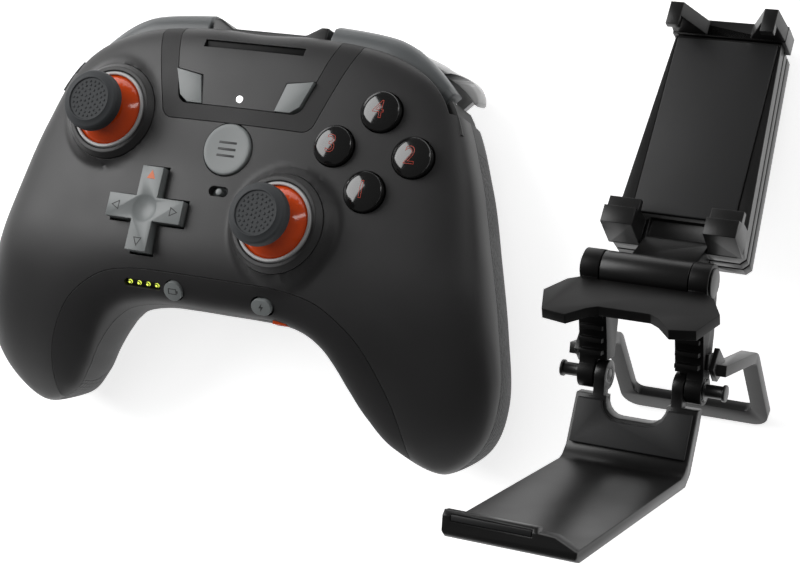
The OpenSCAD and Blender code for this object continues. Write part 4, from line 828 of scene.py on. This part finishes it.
cradle = {"foot": 8.2, "grooves": [(3.2, 3.9), (6.3, 7)], "grooveDeep": 0.6, "nibs": (-6.5, 0, 6.5)}
cradlePiece = solidCopy("cradle_frame", "cradleFrame")
cradleBox = [cradleToTable.inverted() @ vertex.co for vertex in cradlePiece.data.vertices]
frontPoints = [p for p in cradleBox if 1.5 < p.y < 10.2 and p.z > -9]
cradleHalf = max(p.x for p in frontPoints)
cradleTop = max(p.z for p in frontPoints)
cradleTopHalf = max(p.x for p in frontPoints if p.z > cradleTop - 0.1)
cradleOutline = [(1.2 - cradleHalf, -cradle["foot"]), (cradleHalf - 1.2, -cradle["foot"]),
                 (cradleHalf, 1.2 - cradle["foot"]), (cradleTopHalf, cradleTop), (-cradleTopHalf, cradleTop),
                 (-cradleHalf, 1.2 - cradle["foot"])]
for low, top in cradle["grooves"]:
    ring = upright(inset(cradleOutline, -1), low, top)
    cut(ring, upright(inset(cradleOutline, cradle["grooveDeep"]), low - 1, top + 1))
    cut(cradlePiece, moved(ring, cradleToTable))
rounded(cradlePiece, 0.3 * mm, 2, 30)
finished(cradlePiece, "cradleFrame", "cradle", clipBlack, None, ["cradle_frame"], sharper=38)
nibs = [rounded(block((x - 0.5, 1, -cradle["foot"] - 0.7), (x + 0.5, 2.2, 0.3 - cradle["foot"])), 0.15, 2)
        for x in cradle["nibs"]]
finished(joined(*nibs), "cradleNibs", "cradle", clipBlack, cradleToTable)

lever = {"foot": (1.4, 4.6), "apex": (25.8, 3.6), "heel": (43, -15.6), "thick": 2.6, "inside": 14.9,
         "width": 3.7, "bar": 5, "bend": 4.5, "corner": 4.2, "innerCorner": 2, "proud": 0.01, "overlap": 0.02,
         "weld": 0.04, "edge": 0.35, "gusset": (0.4, 1.6), "tab": ((14.6, -1.6, 4.8), (15.3, 1.6, 8.4)),
         "gussetShape": [(-1.6, 5.2), (2.2, 1.8), (9, 4.4), (2, 9.5)]}


def bent(points, radius, steps):
    # the middle corner of a three point line, rounded
    a, b, c = [Vector(p) for p in points]
    into, away = (b - a).normalized(), (c - b).normalized()
    angle = math.acos(into.dot(away))
    back = radius * math.tan(angle / 2)
    turn = 1 if into.x * away.y - into.y * away.x > 0 else -1
    side = Vector((-into.y, into.x)) * turn
    centre = b - into * back + side * radius
    curve = []
    for k in range(steps + 1):
        t = turn * angle * k / steps
        spoke = -side
        curve.append(centre + radius * Vector((spoke.x * math.cos(t) - spoke.y * math.sin(t),
                                               spoke.x * math.sin(t) + spoke.y * math.cos(t))))
    return [a] + curve + [c]


def ribbon(line, thick):
    left, right = [], []
    for k, p in enumerate(line):
        step = (line[min(k + 1, len(line) - 1)] - line[max(k - 1, 0)]).normalized()
        normal = Vector((-step.y, step.x)) * thick / 2
        left.append(tuple(p + normal))
        right.append(tuple(p - normal))
    return left + right[::-1]


secondRun = (Vector(lever["heel"]) - Vector(lever["apex"])).normalized()
runLength = (Vector(lever["heel"]) - Vector(lever["apex"])).length
armEnd = Vector(lever["apex"]) + secondRun * (runLength - lever["bar"] - lever["corner"])
armLine = bent([lever["foot"], lever["apex"], tuple(armEnd)], lever["bend"], 10)
acrossClip = turned(90, "Z") @ turned(90, "X")
leverParts = []
for x in (lever["inside"], -lever["inside"] - lever["width"]):
    leverParts.append(moved(prism(ribbon(armLine, lever["thick"]), x, x + lever["width"]), acrossClip))
proud = lever["proud"]  # keeps the hoop's faces off the planes of the arms
farX, nearX = lever["inside"] + lever["width"] + proud, lever["inside"] - proud
loopLow = runLength - lever["bar"] - lever["corner"] - lever["overlap"]
hoopCorner = arc((farX - lever["corner"], runLength - lever["corner"]), lever["corner"], 0, 90, 8)
hoopHalf = [(farX, loopLow)] + hoopCorner
innerCorner = lever["innerCorner"]
innerCentre = (nearX - innerCorner, runLength - lever["bar"] - innerCorner)
hoopInner = arc(innerCentre, innerCorner, 90, 0, 6) + [(nearX, loopLow)]
hoop = prism(hoopHalf + otherSide(hoopHalf) + otherSide(hoopInner) + hoopInner,
             -lever["thick"] / 2 - proud, lever["thick"] / 2 + proud)
runAngle = math.atan2(secondRun.y, secondRun.x)
hoopPlace = shifted(0, *lever["apex"]) @ Matrix.Rotation(runAngle, 4, "X")
leverPiece = mended(cut(moved(hoop, hoopPlace), *leverParts, operation="UNION"), lever["weld"])
gussetIn, gussetOut = [lever["inside"] + x for x in lever["gusset"]]
for side in (1, -1):
    gusset = moved(prism(lever["gussetShape"], gussetIn, gussetOut), acrossClip)
    tab = block(*lever["tab"])
    cut(leverPiece, handed(gusset, side), handed(tab, side), operation="UNION")
rounded(mended(leverPiece), lever["edge"], sharper=30)
finished(leverPiece, "rearLever", "housing", clipBlack, clipToTable, ["rear_lever"], sharper=38)
print("clip pieces formed")

# Sticks: collar, liner ring and pebbled cap, turned on a lathe
domeRadius = math.hypot(sticks["opening"] - 0.4, sticks["pivotDrop"])


def lifted(radius, sphere):
    return math.sqrt(sphere * sphere - radius * radius) - sticks["pivotDrop"]


def collarProfile():
    opening, drop = sticks["opening"], sticks["pivotDrop"]
    clear, inside, outside = domeRadius + 0.35, opening + 1.15, sticks["collar"]
    crown = arc((opening + 2.05, -0.4), 0.4, 35, 90, 6)
    return [(inside + 0.2, 0), (inside, -0.2), (inside, lifted(inside, clear)),
            (clear - 0.3, lifted(clear - 0.3, clear) + 0.4), (clear, -drop), (outside, -drop),
            (outside, 0.2 - sticks["skirtDrop"])] + crown


def linerProfile():
    opening = sticks["opening"]
    clear, far = domeRadius + 0.3, opening + 0.8
    return [(opening, lifted(opening, clear)), (opening + 0.05, 0.05), (opening + 0.2, 0.25),
            (far - 0.1, 0.25), (far, 0.15), (far + 0.2, -0.3), (far + 0.2, lifted(far + 0.2, clear))]


def capProfile():
    radius, top, neck = sticks["capRadius"], sticks["pivotDrop"] + sticks["capRise"], domeRadius + 0.8
    bore = sticks["stem"] + 0.05
    brim = arc((radius - 1.1, top - 1.45), 1.1, 0, 68, 6)
    return ([(bore, neck), (4.8, neck), (5.2, neck + 0.3), (radius - 1, top - 4.2), (radius - 0.2, top - 3.8),
             (radius, top - 3.2)] + brim
            + [(5.95, top - 0.12), (5.85, top), (5.6, top), (5.45, top - 0.3), (0, top - 0.3),
               (0, top - 1.6), (bore, top - 1.6)])


pebbles = {"rings": [(0, 1), (1.25, 6), (2.45, 11), (3.6, 17), (4.6, 22)], "radius": 0.36, "flat": 0.62,
           "sunk": 0.34}


def pebbleField(top):
    clearSelection()
    bpy.ops.mesh.primitive_ico_sphere_add(subdivisions=2, radius=pebbles["radius"],
                                          scale=(1, 1, pebbles["flat"]))
    bpy.ops.object.transform_apply(location=False, rotation=False, scale=True)
    first = bpy.context.object
    copies = []
    for ring, (reach, count) in enumerate(pebbles["rings"]):
        for k in range(count):
            turn = math.tau * (k + 0.5 * (ring % 2)) / count
            place = shifted(reach * math.cos(turn), reach * math.sin(turn), top - pebbles["sunk"])
            copies.append(moved(copied(first), place))
    bpy.data.objects.remove(first)
    return joined(*copies)


for side in ("left", "right"):
    stick = sticks[side]
    atRing = padToTable @ shifted(*stick["at"], stick["ring"])
    atPivot = atRing @ shifted(0, 0, -sticks["pivotDrop"])
    finished(lathe(collarProfile()), side + "Collar", "housing", shellGrey, atRing, [side + "_stick_collar"])
    finished(lathe(linerProfile()), side + "Liner", "housing", linerGrey, atRing, [side + "_liner_ring"])
    finished(lathe(capProfile()), side + "Cap", side + "_cap", capRubber, atPivot, [side + "_stick_cap"], 40)
    dots = pebbleField(sticks["pivotDrop"] + sticks["capRise"])
    finished(dots, side + "CapPebbles", side + "_cap", capRubber, atPivot)
print("sticks turned")

# Face buttons with a domed top, and the round middle key
buttonSphere = (group["button"] ** 2 + group["sag"] ** 2) / (2 * group["sag"])


def domeHeight(reach):
    return group["rise"] - buttonSphere + math.sqrt(buttonSphere ** 2 - reach ** 2)


def stemProfile(radius, face):
    end, flange = group["stemEnd"], face - group["flange"]
    stem, under, rim = group["stem"], flange - group["rim"], radius + group["rim"]
    return [(0, end), (stem, end), (stem, under), (rim, under), (rim, flange), (radius, flange)]


def buttonProfile(face):
    radius, edge = group["button"], group["edge"]
    brow = face + domeHeight(radius) - edge
    dome = [(r, face + domeHeight(r)) for r in (4.3, 3.6, 2.9, 2.2, 1.5, 0.8, 0)]
    return stemProfile(radius, face) + [(radius, brow)] + arc((radius - edge, brow), edge, 15, 75, 5) + dome


numerals = {"south": "1", "east": "2", "west": "3", "north": "4",
            "size": 6.4, "line": 0.1, "cuts": 5, "sunk": 0.03}


def numeralMark(name, face):
    # a numeral drawn in a thin round line that follows the button's dome
    clearSelection()
    bpy.ops.object.text_add()
    mark = bpy.context.object
    mark.data.body = numerals[name]
    mark.data.size = numerals["size"]
    mark.data.align_x, mark.data.align_y = "CENTER", "CENTER"
    mark.data.fill_mode = "NONE"
    mark.data.bevel_depth = numerals["line"]
    mark.data.bevel_resolution = 1
    bpy.ops.object.convert(target="MESH")
    mark = bpy.context.object
    editAll(mark)
    bpy.ops.mesh.subdivide(number_cuts=numerals["cuts"])
    bpy.ops.object.mode_set(mode="OBJECT")
    for vertex in mark.data.vertices:
        reach = math.hypot(vertex.co.x, vertex.co.y)
        vertex.co.z += face + domeHeight(min(reach, group["button"])) - numerals["sunk"]
    return mark


for name in groupPlaces:
    x, y = buttonPlace(name)
    face = faceHeight(x, y)
    atButton = padToTable @ shifted(x, y)
    finished(lathe(buttonProfile(face)), name + "Button", name, glossBlack, atButton, [name + "_button"], 40)
    finished(numeralMark(name, face), name + "Mark", name, markRed, atButton)

menuFace = faceHeight(0, menuKey["y"])
menuRadius = menuKey["radius"]
menuProfile = stemProfile(menuRadius, menuFace)
menuProfile += arc((menuRadius - 0.5, menuFace + 0.2), 0.5, 0, 90, 5)
menuProfile += [(menuRadius - 1.4, menuFace + 0.66), (0, menuFace + 0.5)]
atMenu = padToTable @ shifted(0, menuKey["y"])
finished(lathe(menuProfile), "menuKey", "menu", satinKey, atMenu, ["menu_button"], sharper=40)
barHalf, barThick = menuKey["barHalf"], menuKey["barThick"]
barLow, barTop = menuFace + menuKey["barLow"], menuFace + menuKey["barTop"]
bars = [rounded(block((-barHalf, y - barThick, barLow), (barHalf, y + barThick, barTop)), menuKey["barEdge"])
        for y in menuKey["bars"]]
finished(joined(*bars), "menuBars", "menu", markDark, atMenu)


# Marks on the direction pad and the two low keys, and the battery lamps
marks = {"sunk": 0.1, "proud": 0.03, "arrow": [(-1.25, -0.8), (1.25, -0.8), (0, 1.5)], "arrowLine": 0.22,
         "arrowReach": 8.4, "upReach": 8.6, "cellLine": 0.2}


def outlineMark(points, low, top, thick):
    mark = prism(points, low, top)
    return cut(mark, prism(inset(points, thick), low - 1, top + 1))


crossX, crossY = crossPad["at"]
crossFace = faceHeight(crossX, crossY) + crossPad["rise"]
arrow, arrowSpan = marks["arrow"], (-marks["sunk"], marks["proud"])
for name, turn in (("Left", 90), ("Down", 180), ("Right", 270)):
    place = padToTable @ shifted(crossX, crossY, crossFace) @ turned(turn, "Z")
    mark = outlineMark(arrow, *arrowSpan, marks["arrowLine"])
    finished(mark, "arrow" + name, "direction", markDark, place @ shifted(0, marks["arrowReach"]))
place = padToTable @ shifted(crossX, crossY + marks["upReach"], crossFace)
finished(prism(arrow, *arrowSpan), "arrowUp", "direction", markOrange, place)

lamps = []
for k in (-1.5, -0.5, 0.5, 1.5):
    lamp = lathe([(0, -0.6), (0.6, -0.6), (0.6, -0.3), (0.45, -0.1), (0.2, 0), (0, 0.02)], 24)
    lamps.append(moved(lamp, shifted(k * lowBand["lightStep"], 0, -0.25)))
finished(joined(*lamps), "batteryLamps", "housing", lampGreen, padToTable @ onLowBand("lights"))
signLow, signTop = lowBand["batteryTop"] - marks["sunk"], lowBand["batteryTop"] + marks["proud"]
cellOutline = [(-1.3, -0.8), (1.1, -0.8), (1.1, 0.8), (-1.3, 0.8)]
cell = outlineMark(cellOutline, signLow, signTop, marks["cellLine"])
cell = joined(cell, block((1.2, -0.35, signLow), (1.5, 0.35, signTop)))
finished(cell, "batterySign", "battery", markDark, padToTable @ onLowBand("battery"))
bolt = [(0.3, 1.2), (-0.7, -0.2), (-0.05, -0.2), (-0.3, -1.2), (0.7, 0.25), (0.05, 0.25)]
signLow, signTop = lowBand["assistTop"] - marks["sunk"], lowBand["assistTop"] + marks["proud"]
finished(prism(bolt, signLow, signTop), "assistSign", "assist", markDark, padToTable @ onLowBand("assist"))
print("buttons and marks made")

# The frame's inner and hidden solids keep their shape and get a finish
keptFinishes = [
    (innerBlack, ["shoulder_frame", "left_stick_module", "right_stick_module", "direction_stud",
                  "gimbal_ring"]),
    (steel, ["shoulder_pins", "trigger_springs", "left_stick_yoke", "right_stick_yoke", "housing_screws",
             "jaw_springs", "slider_spring"]),
    (boardGreen, ["main_board"]), (cellFoil, ["battery_cell"]), (membraneGrey, ["button_membrane"]),
]
for finish, kept in keptFinishes:
    for node in kept:
        nodes[node].data.materials.clear()
        nodes[node].data.materials.append(finish["material"])
print("inner solids finished")

# Table, light and camera
stage = {"floorSize": 6, "floorDrop": 0.0002, "floorColour": (0.93, 0.93, 0.93), "floorChange": 0.005,
         "floorRough": 0.7, "floorGlow": 0.76, "sky": 0.11}
clearSelection()
bpy.ops.mesh.primitive_plane_add(size=stage["floorSize"], location=(0, 0, -stage["floorDrop"]))
floor = bpy.context.object
floor.name = "floor"
floorMaterial, floorTree, floorShader, floorPlace = newShader("tablePale")
floorCloud = noise(floorTree, floorPlace, scale=3)
floorTint = tinted(floorTree, floorCloud, stage["floorColour"], stage["floorChange"])
floorTree.links.new(floorTint, floorShader.inputs["Base Color"])
setInputs(floorShader, {"Roughness": stage["floorRough"], "Emission Color": (1, 1, 1, 1),
                        "Emission Strength": stage["floorGlow"]})
floor.data.materials.append(floorMaterial)

world = bpy.data.worlds.new("softStudio")
world.use_nodes = True
setInputs(world.node_tree.nodes["Background"], {"Color": (1, 1, 1, 1), "Strength": stage["sky"]})
bpy.context.scene.world = world
bpy.context.scene.view_settings.view_transform = "Standard"

softBoxes = [  # name, place, aim, size, power and whether it shows in reflections
    ("keyLight", (-0.75, 0.4, 0.62), (-0.03, 0, 0.03), (0.75, 0.75), 8, True),
    ("topLight", (-0.05, 0.35, 1.0), (0, 0, 0.03), (0.9, 0.7), 1.9, False),
    ("rimLight", (0.75, 0.6, 0.4), (0.05, 0, 0.05), (0.14, 0.6), 1.1, True),
]
for name, place, aim, size, power, mirrored in softBoxes:
    light = bpy.data.lights.new(name, "AREA")
    light.shape = "RECTANGLE"
    light.size, light.size_y = size
    light.energy = power
    lamp = bpy.data.objects.new(name, light)
    lamp.location = place
    lamp.rotation_mode = "QUATERNION"
    lamp.rotation_quaternion = (Vector(aim) - Vector(place)).to_track_quat("-Z", "Y")
    lamp.visible_glossy = mirrored
    bpy.context.collection.objects.link(lamp)

view = {"at": (0.2320, 0.0326, 0.4861), "right": (0.8957, 0.1049, -0.4321),
        "up": (-0.1334, 0.9904, -0.0361), "back": (0.4242, 0.0900, 0.9011), "lens": 93.0}
camera = bpy.data.objects.new("camera", bpy.data.cameras.new("camera"))
turn = Matrix((view["right"], view["up"], view["back"])).transposed().to_4x4()
camera.matrix_world = Matrix.Translation(view["at"]) @ turn
camera.data.lens = view["lens"]
camera.data.sensor_width = 36
camera.data.clip_start = 0.01
bpy.context.collection.objects.link(camera)
bpy.context.scene.camera = camera
print("stage set")
